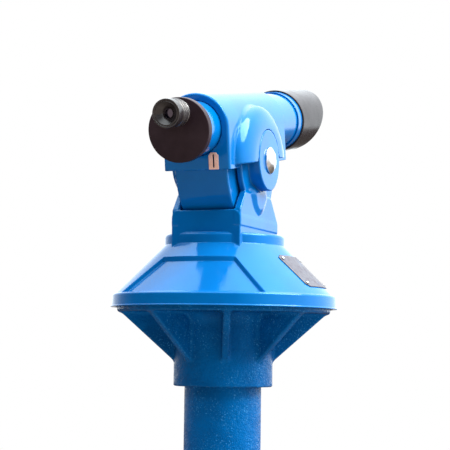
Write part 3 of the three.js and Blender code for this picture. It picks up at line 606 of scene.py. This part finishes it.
# ---- head ----
def skirt():
    """Hollow skirt: rim, 45 degree cone with the sunk trapezoid panel, and the ring step."""
    outer = eased([(RIM_R - 9, 0), (RIM_R, 0, 0.6), (RIM_R, 1.8, 0.6), (RIM_R - 2.2, 3, 0.8),
                   (RIM_R - 3, 24, 2.5), (RIM_R - 5.4, 27, 1.6), (228, 28, 1.4)], 1.0, 3)[:-1]
    heights = [28, 29, 31] + list(np.linspace(36, 84, 13)) + [88, 89.8]
    heights += list(np.linspace(PANEL_TOP - RECESS, PANEL_TOP, 6)) + [101.2, 103]
    heights += list(np.linspace(108, 126, 5))
    cone = [(CONE_SUM - z, z) for z in heights]
    upper = eased([(128, 128.1), (126, 130, 1.2), (126, RING_TOP, 8), (60, RING_TOP, 1), (46, RING_TOP, 1.5),
                   (46, 118, 1), (30, 118, 1), (30, 37.6), (58, 37.6, 2), (58, 140, 5), (111, 140, 5),
                   (115, 125, 3), (216.4, 24, 3), (228, 14, 3), (229, 0, 1), (RIM_R - 9, 0)], 1.0, 4)
    profile = outer + cone + upper[:-1]
    points = []
    for r, z in profile:
        sinks = (r, z) in cone
        below = z < 28 and r > 200
        level = min(max(z, 28), PANEL_TOP) if sinks else (28 if below else PANEL_TOP)
        outer_edge, inner_edge = panel_edge(level)
        row = skirt_angles(outer_edge, inner_edge, CONE_SUM - level)
        for angle in row:
            shift = 0.0
            if sinks:
                away = abs((angle + math.pi) % (2 * math.pi) - math.pi)
                side = (outer_edge - away) / (outer_edge - inner_edge)
                shift = min(RECESS * ramp(side), max(PANEL_TOP - z, 0))
            turned = angle + math.radians(PANEL_TURN)
            points.append(((r - shift) * math.sin(turned), (shift - r) * math.cos(turned), z))
    piece = object_of("skirt", points, between(len(profile), len(row)), HEAD)
    outward(piece)
    weigh(piece)
    stands_for(piece, "gloss_blue_enamel", "skirt_hood")


def skirt_angles(outer, inner, reach):
    """Angles of one level's points, close together where the panel's side walls run."""
    steps = [outer + 4 / reach, outer + 1 / reach]
    steps += list(np.linspace(outer, inner, 7))
    steps += [inner - 1 / reach, inner - 4 / reach]
    middle = list(np.linspace(-1, 1, 43) * (inner - 4 / reach))[1:-1]
    back = list(np.linspace(steps[0], 2 * math.pi - steps[0], 141))[1:-1]
    return [-a for a in steps] + middle + steps[::-1] + back


def ramp(k):
    """Rises from 0 to 1, straight but for short curves at its two ends."""
    k = min(max(k, 0.0), 1.0)
    return 0.35 * k * k * (3 - 2 * k) + 0.65 * k


def panel_edge(z):
    """Half angles of the sunk panel's outer outline and of its floor, at one height."""
    share = (z - 28) / (PANEL_TOP - 28)
    reach = CONE_SUM - z
    half = PANEL_FOOT_HALF + (PANEL_TOP_HALF - PANEL_FOOT_HALF) * share
    return math.asin(half / reach), math.asin((half - PANEL_LEAN) / reach)


def nameplate():
    """Thin plate bent to the cone on the +X side, with rounded corners and a slightly raised border."""
    across, along = 48, 30
    half, length = 64, 63.5
    front, back = [], []
    for j in range(along + 1):
        for i in range(across + 1):
            u, v = -1 + 2 * i / across, -1 + 2 * j / along
            near = max(abs(u) - 0.9, 0), max(abs(v) - 0.87, 0)
            in_corner = near[0] > 0 and near[1] > 0
            pinch = 1 - 0.035 * math.hypot(near[0] / 0.1, near[1] / 0.13) ** 2 * in_corner
            run = length * (0.5 + 0.5 * v * pinch)
            r = PLATE_R - run
            y = half * u * pinch
            border = 0.5 if (abs(u) > 0.94 or abs(v) > 0.92) else 0.0
            for skin, lift in ((front, 1.35 + border), (back, 0.4)):
                radial = r + lift * 0.707
                angle = math.asin(max(-0.99, min(0.99, y / radial)))
                height = PLATE_Z + run + lift * 0.707
                skin.append((radial * math.cos(angle), radial * math.sin(angle), height))
    count = len(front)
    row = across + 1
    faces = []
    for j in range(along):
        for i in range(across):
            a = j * row + i
            faces.append((a, a + 1, a + row + 1, a + row))
            faces.append((count + a, count + a + row, count + a + row + 1, count + a + 1))
    rim = [i for i in range(across)] + [j * row + across for j in range(along)]
    rim += [along * row + across - i for i in range(across)] + [(along - j) * row for j in range(along)]
    for a, b in zip(rim, rim[1:] + rim[:1]):
        faces.append((a, b, count + b, count + a))
    piece = object_of("maker_plate", front + back, faces, HEAD)
    outward(piece)
    weigh(piece)
    stands_for(piece, "machined_steel", "nameplate", material=LABEL)
    for side, word in ((-1, "left"), (1, "right")):
        for slant, level in ((57, "upper"), (7, "lower")):
            plate_screw(f"plate_screw_{level}_{word}", side, slant)


def plate_screw(node, side, slant):
    """Domed screw standing square on the cone; `slant` is its height above the plate's lower edge."""
    radius = PLATE_R + 0.6 - slant
    turn = Matrix.Rotation(math.asin(side * 56 / radius), 4, "Z")
    place = HEAD @ turn @ Matrix.Translation((radius, 0, PLATE_Z + slant))
    place = place @ Matrix.Rotation(math.pi / 4, 4, "Y")
    outline = [(0, 1.9), (4.2, 1.9), (4.2, 2.7, 0.6), (3.0, 4.1, 1.6), (1.2, 4.6, 0.8), (0.9, 3.6, 0.3),
               (0, 3.6)]
    stands_for(lathe(f"{node}_dome", outline, "Z", place, 0.3, 40), "machined_steel", node)


def eye_shoulders(across, up):
    """Flat top of a fork eye with two shoulders that slope down at 30 degrees."""
    slope = up * math.cos(math.pi / 6) + np.abs(across) * math.sin(math.pi / 6) - 38
    return both(slope, up - 32.9, 6)


def fork_shape(x, y, z):
    """Fork: base block hollowed for the drum, two arms with round bosses, and the crown in the skirt."""
    side = np.abs(x)
    up = z - PIVOT_H
    eye = np.hypot(y, up)
    back_slope = ((y - 100) * 19 + (z - 208) * 23) / math.hypot(19, 23)
    base = both(both(side - FORK_W, z - FORK_TOP, 18), slab(y, FORK_FRONT, FORK_BACK), 2.2)
    base = both(both(base, 118 - z), back_slope, 3)
    base = without(base, both(eye - DRUM_R - 4, side - ARM_IN), 3)
    front = FORK_FRONT + 1
    foot = convex(y, z, [(front, 165), (FORK_BACK, 165), (FORK_BACK, 190), (LEDGE_HALF, LEDGE),
                         (-LEDGE_HALF, LEDGE), (front, FORK_TOP)], 3)
    foot = both(foot, slab(side, ARM_IN, FORK_W), 3)
    disc = both(both(eye - EYE_R, eye_shoulders(y, up), 5), LEDGE - 8 - z)
    disc = both(disc, slab(side, ARM_IN, EYE_OUT), 3)
    boss = both(eye - BOSS_R, slab(side, EYE_OUT - 8, BOSS_OUT), 2.5)
    gusset = convex(y, z, [(-18, 200), (18, 200), (48, 247), (-48, 247)], 18)
    gusset = both(both(gusset, side - FORK_W - (z - 206) * 0.14, 9), EYE_OUT - 4 - side)
    arm = either(either(either(foot, disc, 4), gusset, 14), boss, 2.5)
    whole = either(base, arm, 3)
    whole = without(whole, both(eye - 22, ARM_IN - 20 - side))
    r = np.hypot(x, y)
    crown = both(skirt_reach(r, z, -0.6), 118 - z)
    crown = without(crown, both(r - 113, z - 141))
    whole = without(whole, both(r - 113, z - 141))
    return either(whole, crown, 2.5)


def fork():
    piece = casting("fork", fork_shape, (-130, -130, 110), (130, 130, PIVOT_H + BOSS_R), HEAD)
    stands_for(piece, "gloss_blue_enamel", "fork_casting")


# ---- telescope ----
def ear_cover(x, s, h):
    """Dome over a fork arm: flat face, rolled shoulder, long flank down to the saddle wall."""
    side = np.abs(x)
    reach = np.hypot(s, h / EAR_SQUASH)
    k = np.clip((reach - EAR_FACE_R + 14) / (EAR_FOOT_R + 1 - EAR_FACE_R + 14), 0, 1)
    line = EAR_OUT - 28 * (1 - np.sqrt(np.maximum(1 - k ** 1.8, 0)))
    dome = both(both((side - line) * 0.82, reach - EAR_FOOT_R), ARM_IN - side)
    return both(dome, -h, 2.5)


def saddle_shape(x, s, h):
    """Arched hollow cover with its two ears, open below, for the fork arms and for both tubes."""
    side = np.abs(x)
    reach = np.hypot(s, h)
    round_part = np.where(h > AXIS_H, np.hypot(x, h - AXIS_H), side) - SADDLE_W
    body = both(both(round_part, slab(s, SADDLE_FRONT, SADDLE_BACK), 5), SADDLE_FOOT - h, 1)
    body = either(body, ear_cover(x, s, h), 6)
    inner_round = np.where(h > AXIS_H, np.hypot(x, h - AXIS_H), side) - (SADDLE_W - WALL)
    inside = both(inner_round, slab(s, SADDLE_FRONT + 7, SADDLE_BACK - 7), 3)
    shell = without(body, inside, 1)
    room_r = EYE_R + 3 - 13 * np.clip((side - EYE_OUT - 3) / 14, 0, 1)
    room = both(both(reach - room_r, slab(side, ARM_IN - 1, EAR_OUT - 8)), slab(h, -40, 40))
    notch = both(reach - BOSS_R - 0.7, side - 120)
    mouth = both(np.hypot(s, h + 36) - 79, side - 120)
    opening = both(either(notch, mouth, 2), EYE_OUT - GAP - side)
    shell = without(shell, either(room, opening), 0.8)
    to_axis = np.hypot(x, h - AXIS_H)
    shell = without(shell, both(to_axis - REAR_TUBE_R - GAP, s), 1)
    shell = without(shell, both(to_axis - TUBE_R - GAP, -s), 1)
    inlet = both(slab(x, COIN_X - 2, COIN_X + 2), both(slab(h, COIN_H - 14, COIN_H + 14), s + 150))
    return without(shell, inlet)


def sector(s, h):
    """Between the two lines of the cash door's opening."""
    upper = math.radians(-DOOR_FROM)
    lower = math.radians(-DOOR_TO)
    above = h * math.cos(upper) + s * math.sin(upper)
    below = -(h * math.cos(lower) + s * math.sin(lower))
    return np.maximum(above, below)


def drum_shape(x, s, h):
    """Curved plate with side cheeks and pivot hubs, opened for the cash door and the coin chute."""
    side = np.abs(x)
    reach = np.hypot(s, h)
    shell = both(both(reach - DRUM_R, side - DRUM_W, 4), h - SADDLE_FOOT, 0)
    inner = both(both(reach - DRUM_R + 6, side - DRUM_W + 8, 4), h - SADDLE_FOOT)
    top = both(slab(h, SADDLE_FOOT, SADDLE_FOOT + 6), side - DRUM_W, 1.5)
    top = both(slab(s, SADDLE_FRONT + 7.3, SADDLE_BACK - 7.3), top, 1.5)
    hub = both(both(reach - 34, slab(side, DRUM_W - 8, DRUM_W), 1), h - 29, 2)
    door = both(both(sector(s, h), side - DOOR_W, 3), 120 - reach)
    chute = both(slab(x, COIN_X - 7, COIN_X + 7), both(slab(s, -175, -45), SADDLE_FOOT - h))
    whole = without(either(either(shell, top, 1), hub, 3), inner, 1)
    return without(without(without(whole, door, 0.6), reach - 12.5), chute)


def door_shape(x, s, h):
    """Piece of the drum's curve with a hole for the lock."""
    reach = np.hypot(s, h)
    panel = both(sector(s, h) + 0.8, np.abs(x) - DOOR_W + 0.6, 2.5)
    panel = both(panel, slab(reach, DRUM_R - 5, DRUM_R), 1.2)
    turn = math.radians(DOOR_TO + 9)
    across = -s * math.sin(turn) + h * math.cos(turn)
    return without(panel, np.hypot(x, across) - 9.4)


def saddle():
    top = AXIS_H + SADDLE_W
    piece = casting("saddle", saddle_shape, (-97, SADDLE_FRONT, SADDLE_FOOT), (97, SADDLE_BACK, top), SCOPE)
    stands_for(piece, "gloss_blue_enamel", "saddle_housing")
    drum = casting("drum", drum_shape, (-DRUM_W, -DRUM_R - 14, -DRUM_R), (DRUM_W, SADDLE_BACK - 7, 29), SCOPE)
    stands_for(drum, "gloss_blue_enamel", "drum_shield")
    door = casting("door", door_shape, (-DOOR_W, 80, -120), (DOOR_W, 150, -30), SCOPE, FINE * 0.6)
    stands_for(door, "gloss_blue_enamel", "cash_door")


def axis_lathe(name, outline, height, **options):
    """A piece turned about a line parallel to the optical axis, at the given height."""
    return lathe(name, outline, "Y", SCOPE, centre=(0, 0, height), **options)


def tubes():
    """Stepped main tube, its front ring, the hood, and what shows inside the hood."""
    outline = [(51.5, CAP_FACE + 4.5), (REAR_TUBE_R, CAP_FACE + 4.5), (REAR_TUBE_R, TUBE_STEP, 3),
               (TUBE_R, TUBE_STEP + 8, 3), (TUBE_R, TUBE_FRONT), (60, TUBE_FRONT),
               (60, TUBE_STEP + 9, 3), (51.5, TUBE_STEP + 1, 3)]
    stands_for(axis_lathe("tube", outline, AXIS_H, radius=0.8), "gloss_blue_enamel", "main_tube")
    ring = [(64.3, TUBE_FRONT - 27), (67.5, TUBE_FRONT - 27), (67.5, TUBE_FRONT - GAP),
            (64.3, TUBE_FRONT - GAP)]
    stands_for(axis_lathe("front_ring", ring, AXIS_H, radius=1.2), "gloss_blue_enamel", "tube_flange_ring")
    hood()
    cell = [(52, 292), (59.7, 292), (59.7, 331), (56, 331), (56, 300), (52, 300)]
    cell = axis_lathe("lens_cell", cell, AXIS_H, radius=0.6)
    stands_for(cell, "aluminium", "objective_cell", material=MATERIALS["black_plastic"])
    lens = [(0, 312), (55, 312), (55, 316)]
    lens += [(55 * k, 316 + 6 * (1 - k * k)) for k in np.linspace(0.98, 0, 18)]
    stands_for(axis_lathe("front_lens", lens, AXIS_H, radius=0.2), "optical_glass", "objective_crown")
    ring = [(51, 317.5), (55.4, 317.5), (55.4, 323), (53, 323), (51, 321)]
    stands_for(axis_lathe("lens_ring", ring, AXIS_H, radius=0.5), "aluminium", "lens_retainer")


def mouth(angle):
    """Where the hood ends along the axis, at an angle round it."""
    lean = (HOOD_TOP - HOOD_FOOT) / (2 * HOOD_R)
    return HOOD_FOOT + HOOD_R * (math.sin(angle) + 1) * lean


def hood():
    """Hood with a square rear flange; its mouth is cut on a slant, longest at the top."""
    steps = 26
    inner = HOOD_R - 3
    outer_start, inner_start = TUBE_FRONT + 12, TUBE_FRONT + 5
    flange = eased([(60.5, 336), (60.5, 333.3, 0.5), (HOOD_R, 333.3, 1.8), (HOOD_R, outer_start)], 1.0, 4)
    lip = [(HOOD_R - 0.35, -0.35), (HOOD_R - 1.2, 0), (inner + 1.2, 0), (inner + 0.35, -0.35), (inner, -1.2)]
    angles = [2 * math.pi * i / TURNS for i in range(TURNS)]
    ends = [mouth(a) for a in angles]

    def row(start, i):
        return [start + (end - 1.2 - start) * i / steps for end in ends]

    rings = [(r, [s] * TURNS) for r, s in flange]
    rings += [(HOOD_R, row(outer_start, i)) for i in range(1, steps + 1)]
    rings += [(r, [end + slip for end in ends]) for r, slip in lip]
    rings += [(inner, row(inner_start, i)) for i in range(steps - 1, -1, -1)]
    points = []
    for r, places in rings:
        points += [(r * math.cos(a), s, AXIS_H + r * math.sin(a)) for a, s in zip(angles, places)]
    piece = object_of("hood", points, between(len(rings), TURNS), SCOPE)
    outward(piece)
    weigh(piece)
    stands_for(piece, "black_enamel", "lens_hood")


def eye_end():
    """Rear cap and eyepiece: barrel, focusing ring, eyecup and the lens in it."""
    cap = [(0, CAP_FACE), (64.2, CAP_FACE, 2.5), (64.2, CAP_FACE + 18, 1.5),
           (REAR_TUBE_R + GAP, CAP_FACE + 18, 0.5), (REAR_TUBE_R + GAP, CAP_FACE + 4), (0, CAP_FACE + 4)]
    cap = axis_lathe("tube_cap", cap, AXIS_H, radius=0.8)
    stands_for(cap, "black_enamel", "rear_cap", material=CAP_BLACK)
    barrel = [(17.5, CAP_FACE - 1), (27, CAP_FACE - 0.4), (27, CAP_FACE - 5, 1.2), (22, CAP_FACE - 5),
              (22, CAP_FACE - 34), (20, CAP_FACE - 34), (20, CAP_FACE - 6), (17.5, CAP_FACE - 6)]
    stands_for(axis_lathe("eye_barrel", barrel, EYE_H, radius=0.4), "aluminium", "eyepiece_barrel")
    grip_ring()
    end = CAP_FACE - 59.2
    seat = CAP_FACE - 34.8
    cup = [(16.5, CAP_FACE - 14), (19.7, CAP_FACE - 14), (19.7, seat), (25.5, seat, 0.6),
           (25.5, CAP_FACE - 38, 0.6), (GRIP_R, CAP_FACE - 39, 0.8), (GRIP_R, end, 1.4), (25.6, end, 0.9),
           (24.6, end + 1.6, 0.5), (23.2, end + 1.6, 0.5), (22.4, end + 0.8, 0.6), (20.5, end + 2.4, 1.2),
           (12.5, end + 9, 2), (9.3, end + 12.5, 1), (9, end + 20), (16.5, end + 20)]
    stands_for(axis_lathe("eye_cup", cup, EYE_H, radius=0.5), "black_plastic", "eyecup")
    lens = [(0, CAP_FACE - 36.5), (16.2, CAP_FACE - 36.5), (16.2, CAP_FACE - 32)]
    lens += [(16.2 * k, CAP_FACE - 32 + 2 * (1 - k * k)) for k in np.linspace(0.95, 0, 8)]
    stands_for(axis_lathe("ocular_lens", lens, EYE_H, radius=0.2, turns=64), "optical_glass", "eye_lens")


def grip_ring():
    """Focusing ring: three raised bands with fine knurling across their crests."""
    teeth = 90
    turns = teeth * 4
    valley, crest = GRIP_R - 2.4, GRIP_R - 0.3
    outline = [(22.3, CAP_FACE - 5.3), (valley, CAP_FACE - 5.3)]
    for i in range(3):
        start = CAP_FACE - 7 - 9 * i
        outline += [(valley, start), (crest - 0.1, start - 1.2), (crest, start - 3.4),
                    (crest - 0.1, start - 5.6), (valley, start - 6.8)]
    outline += [(valley, CAP_FACE - 34), (22.3, CAP_FACE - 34)]
    points = []
    for r, s in outline:
        for i in range(turns):
            angle = 2 * math.pi * i / turns
            cut = 0.35 if (r > crest - 0.5 and i % 4 in (0, 1)) else 0.0
            points.append(((r - cut) * math.cos(angle), s, EYE_H + (r - cut) * math.sin(angle)))
    piece = object_of("grip_ring", points, between(len(outline), turns), SCOPE)
    outward(piece)
    weigh(piece)
    stands_for(piece, "black_plastic", "focus_ring")


def pivot_cap(side, word):
    """Domed hexagonal cap of a pivot bolt, standing on a thin washer face."""
    seat = BOSS_OUT + GAP
    turns = 96
    rows = [(0, 0.0, 12), (0, 0.0, 28.0), (2.4, 0.0, 28.0), (3.0, 0.0, 27.5), (3.6, 0.4, 26.6),
            (6.0, 0.4, 23.6), (8.2, 0.3, 18.5), (9.6, 0.15, 12.5), (10.3, 0, 7), (10.5, 0, 3)]
    points = []
    for height, six, r in rows:
        for i in range(turns):
            angle = 2 * math.pi * i / turns
            flat = 0.92 / math.cos(from_flat(angle))
            radius = r * (1 + six * (flat - 1))
            points.append((seat + height, radius * math.cos(angle), radius * math.sin(angle)))
    inner = len(points)
    points += [(seat + 10.5, 0, 0), (seat, 0, 0)]
    faces = between(len(rows), turns, closed=False)
    last = (len(rows) - 1) * turns
    faces += [(last + i, last + (i + 1) % turns, inner) for i in range(turns)]
    faces += [((i + 1) % turns, i, inner + 1) for i in range(turns)]
    spots = [(side * x, y, z) for x, y, z in points]
    piece = object_of(f"pivot_cap_{word}", spots, faces, SCOPE)
    outward(piece)
    soften(piece, 0.35, 2)
    shank = [(0, 49), (12, 49), (12, 57.3), (16, 57.3), (16, seat + 1), (0, seat + 1)]
    bolt = lathe(f"pivot_shank_{word}", [(r, side * a) for r, a in shank], "X", SCOPE, 0.5, 64)
    rides_along(bolt, "machined_steel", "scope")
    stands_for(piece, "chromed_steel", f"pivot_bolt_{word}")


def coin_plate():
    """Copper-coloured plate with clipped upper corners and an upright coin slot."""
    outline = [(-10.5, -17), (10.5, -17), (10.5, 11), (5.5, 17), (-5.5, 17), (-10.5, 11)]
    slot_half, slot_end = 1.5, 13
    front, back = SADDLE_FRONT - 2.3, SADDLE_FRONT - GAP
    slot = [(-slot_half, -slot_end), (slot_half, -slot_end), (slot_half, slot_end), (-slot_half, slot_end)]
    links = [(0, 0), (1, 1), (2, 2), (3, 2), (4, 3), (5, 3)]
    points, faces = [], []
    for y in (front, back):
        points += [(COIN_X + x, y, COIN_H + z) for x, z in outline]
        points += [(COIN_X + x, y, COIN_H + z) for x, z in slot]
    for base in (0, 10):
        for (a, p), (b, q) in zip(links, links[1:] + links[:1]):
            face = [base + a, base + b, base + 6 + q] + ([base + 6 + p] if p != q else [])
            faces.append(tuple(face))
    for ring, start in ((6, 0), (4, 6)):
        for i in range(ring):
            j = (i + 1) % ring
            faces.append((start + i, start + j, 10 + start + j, 10 + start + i))
    piece = object_of("coin_slot_plate", points, faces, SCOPE)
    outward(piece)
    soften(piece, 0.7, 3)
    stands_for(piece, "copper_plate", "coin_plate")


def lock():
    """Round key lock of the cash door."""
    turn = math.radians(DOOR_TO + 9)
    place = SCOPE @ Matrix.Rotation(turn, 4, "X")
    outline = [(0, 131), (9, 131), (9, DRUM_R + 1.8, 0.8), (7.8, DRUM_R + 3, 0.6),
               (2.2, DRUM_R + 3, 0.4), (1.6, DRUM_R + 1), (0, DRUM_R + 1)]
    stands_for(lathe("door_lock", outline, "Y", place, 0.4, 64), "chromed_steel", "cash_lock")


# ---- the CAD nodes that stay ----
KEPT = {
    "machined_steel": ["azimuth_spindle", "thrust_race_lower", "thrust_race_upper", "spindle_washer",
                       "shutter_solenoid"],
    "zinc_plated_steel": ["spindle_nut", "fork_bolt_1", "fork_bolt_2", "fork_bolt_3", "fork_bolt_4",
                          "cash_box", "coin_chute"],
    "bearing_bronze": ["thrust_ball_ring", "hub_bushing", "pivot_bushing_right", "pivot_bushing_left",
                       "friction_washer_right", "friction_washer_left"],
    "black_plastic": ["timer_unit", "shutter_blade"],
    "black_enamel": ["shutter_bulkhead"],
    "aluminium": ["prism_holder"],
    "optical_glass": ["objective_flint", "prism_lower", "prism_upper"],
}


def finish_frame_nodes():
    """Gives each CAD node that stays its slot's material."""
    slots = {name: slot for slot, names in KEPT.items() for name in names}
    for name, node in frame["nodes"].items():
        if name in slots:
            node.data.materials.clear()
            node.data.materials.append(MATERIALS[slots[name]])


# ---- studio ----
def floor():
    """Pale floor that is seen only by the camera and neither lights nor mirrors."""
    disc = lathe("floor", [(0, -4), (2900, -4), (2900, -0.5, 2), (0, -0.5)], "Z", FLOOR, 1.0, 96)
    t = Tree("pale_floor")
    shade = t.mix(t.spread(t.noise(420, 4), 0.35, 0.7), (0.80, 0.80, 0.80), (0.74, 0.74, 0.75))
    rough = t.spread(t.noise(60, 4), 0.3, 0.7, 0.55, 0.7)
    t.set(Base_Color=shade, Roughness=rough, Normal=t.relief(t.noise(5, 3), 0.08))
    disc.data.materials.append(t.material)
    disc.visible_diffuse = False
    disc.visible_glossy = False


def studio():
    """Surroundings brightest overhead and behind, dim low in front, over a warm ground lit in front."""
    world = bpy.data.worlds.new("studio")
    world.use_nodes = True
    bpy.context.scene.world = world
    nodes, links = world.node_tree.nodes, world.node_tree.links
    nodes.clear()

    def node(kind, **values):
        new = nodes.new(kind)
        for name, value in values.items():
            setattr(new, name, value)
        return new

    def spread(value, *numbers):
        return smooth_step(nodes, links, value, *numbers)

    ray = node("ShaderNodeTexCoord").outputs["Generated"]
    split = node("ShaderNodeSeparateXYZ")
    links.new(ray, split.inputs[0])

    def towards(direction):
        dot = node("ShaderNodeVectorMath", operation="DOT_PRODUCT")
        links.new(ray, dot.inputs[0])
        dot.inputs[1].default_value = Vector(direction).normalized()
        return dot.outputs["Value"]

    low = spread(towards((0.45, 0.90, 0.10)), -0.60, 0.70, 0.08, 2.0)
    strength = node("ShaderNodeMix", data_type="FLOAT")
    links.new(spread(split.outputs["Z"], 0.45, 0.95, 0.0, 1.0), strength.inputs["Factor"])
    links.new(low, strength.inputs[2])
    strength.inputs[3].default_value = 3.9
    sky = node("ShaderNodeVectorMath", operation="SCALE")
    sky.inputs[0].default_value = (0.90, 0.97, 1.0)
    links.new(strength.outputs[0], sky.inputs["Scale"])
    around = node("ShaderNodeMix", data_type="RGBA")
    links.new(spread(split.outputs["Z"], -0.06, 0.03, 0.0, 1.0), around.inputs["Factor"])
    ground = node("ShaderNodeVectorMath", operation="SCALE")
    ground.inputs[0].default_value = (0.46, 0.39, 0.34)
    links.new(spread(towards((0.5, -0.85, 0)), -0.7, 0.8, 0.35, 2.1), ground.inputs["Scale"])
    links.new(ground.outputs["Vector"], around.inputs[6])
    links.new(sky.outputs["Vector"], around.inputs[7])
    lit = node("ShaderNodeBackground")
    links.new(around.outputs[2], lit.inputs["Color"])
    plain = node("ShaderNodeBackground")
    plain.inputs["Color"].default_value = (1, 1, 1, 1)
    chosen = node("ShaderNodeMixShader")
    links.new(node("ShaderNodeLightPath").outputs["Is Camera Ray"], chosen.inputs[0])
    links.new(lit.outputs[0], chosen.inputs[1])
    links.new(plain.outputs[0], chosen.inputs[2])
    links.new(chosen.outputs[0], node("ShaderNodeOutputWorld").inputs["Surface"])


def key_light():
    """Large soft lamp, high on the right."""
    turn, rise, reach = math.radians(98), math.radians(47), 3.2
    data = bpy.data.lights.new("key", "AREA")
    data.shape = "DISK"
    data.size = 2.4
    data.energy = 215
    data.color = (1.0, 0.97, 0.92)
    lamp = bpy.data.objects.new("key", data)
    bpy.context.scene.collection.objects.link(lamp)
    away = Vector((math.sin(turn) * math.cos(rise), -math.cos(turn) * math.cos(rise), math.sin(rise)))
    lamp.location = Vector((0, 0, (RIM_Z + 200) * MM)) + away * reach
    lamp.rotation_euler = away.to_track_quat("Z", "Y").to_euler()


def camera():
    """Level with the skirt's rim, a little to the right of the eyepiece, looking slightly up."""
    turn, pitch, roll = math.radians(20.7), math.radians(4.64), math.radians(0.77)
    distance, height = 3.158, RIM_Z * MM - 0.081
    ahead = Vector((-math.sin(turn) * math.cos(pitch), math.cos(turn) * math.cos(pitch), math.sin(pitch)))
    level = Vector((math.cos(turn), math.sin(turn), 0))
    above = level.cross(ahead)
    right = math.cos(roll) * level + math.sin(roll) * above
    up = -math.sin(roll) * level + math.cos(roll) * above
    data = bpy.data.cameras.new("camera")
    data.lens = 120.5
    data.sensor_width = 36
    data.dof.use_dof = False
    view = bpy.data.objects.new("camera", data)
    bpy.context.scene.collection.objects.link(view)
    axes = Matrix((right, up, -ahead)).transposed().to_4x4()
    spot = (distance * math.sin(turn), -distance * math.cos(turn), height)
    view.matrix_world = Matrix.Translation(spot) @ axes
    bpy.context.scene.camera = view


pedestal()
skirt()
nameplate()
fork()
saddle()
tubes()
eye_end()
pivot_cap(1, "right")
pivot_cap(-1, "left")
coin_plate()
lock()
finish_frame_nodes()
floor()
studio()
key_light()
camera()
bpy.context.scene.view_settings.view_transform = "Standard"
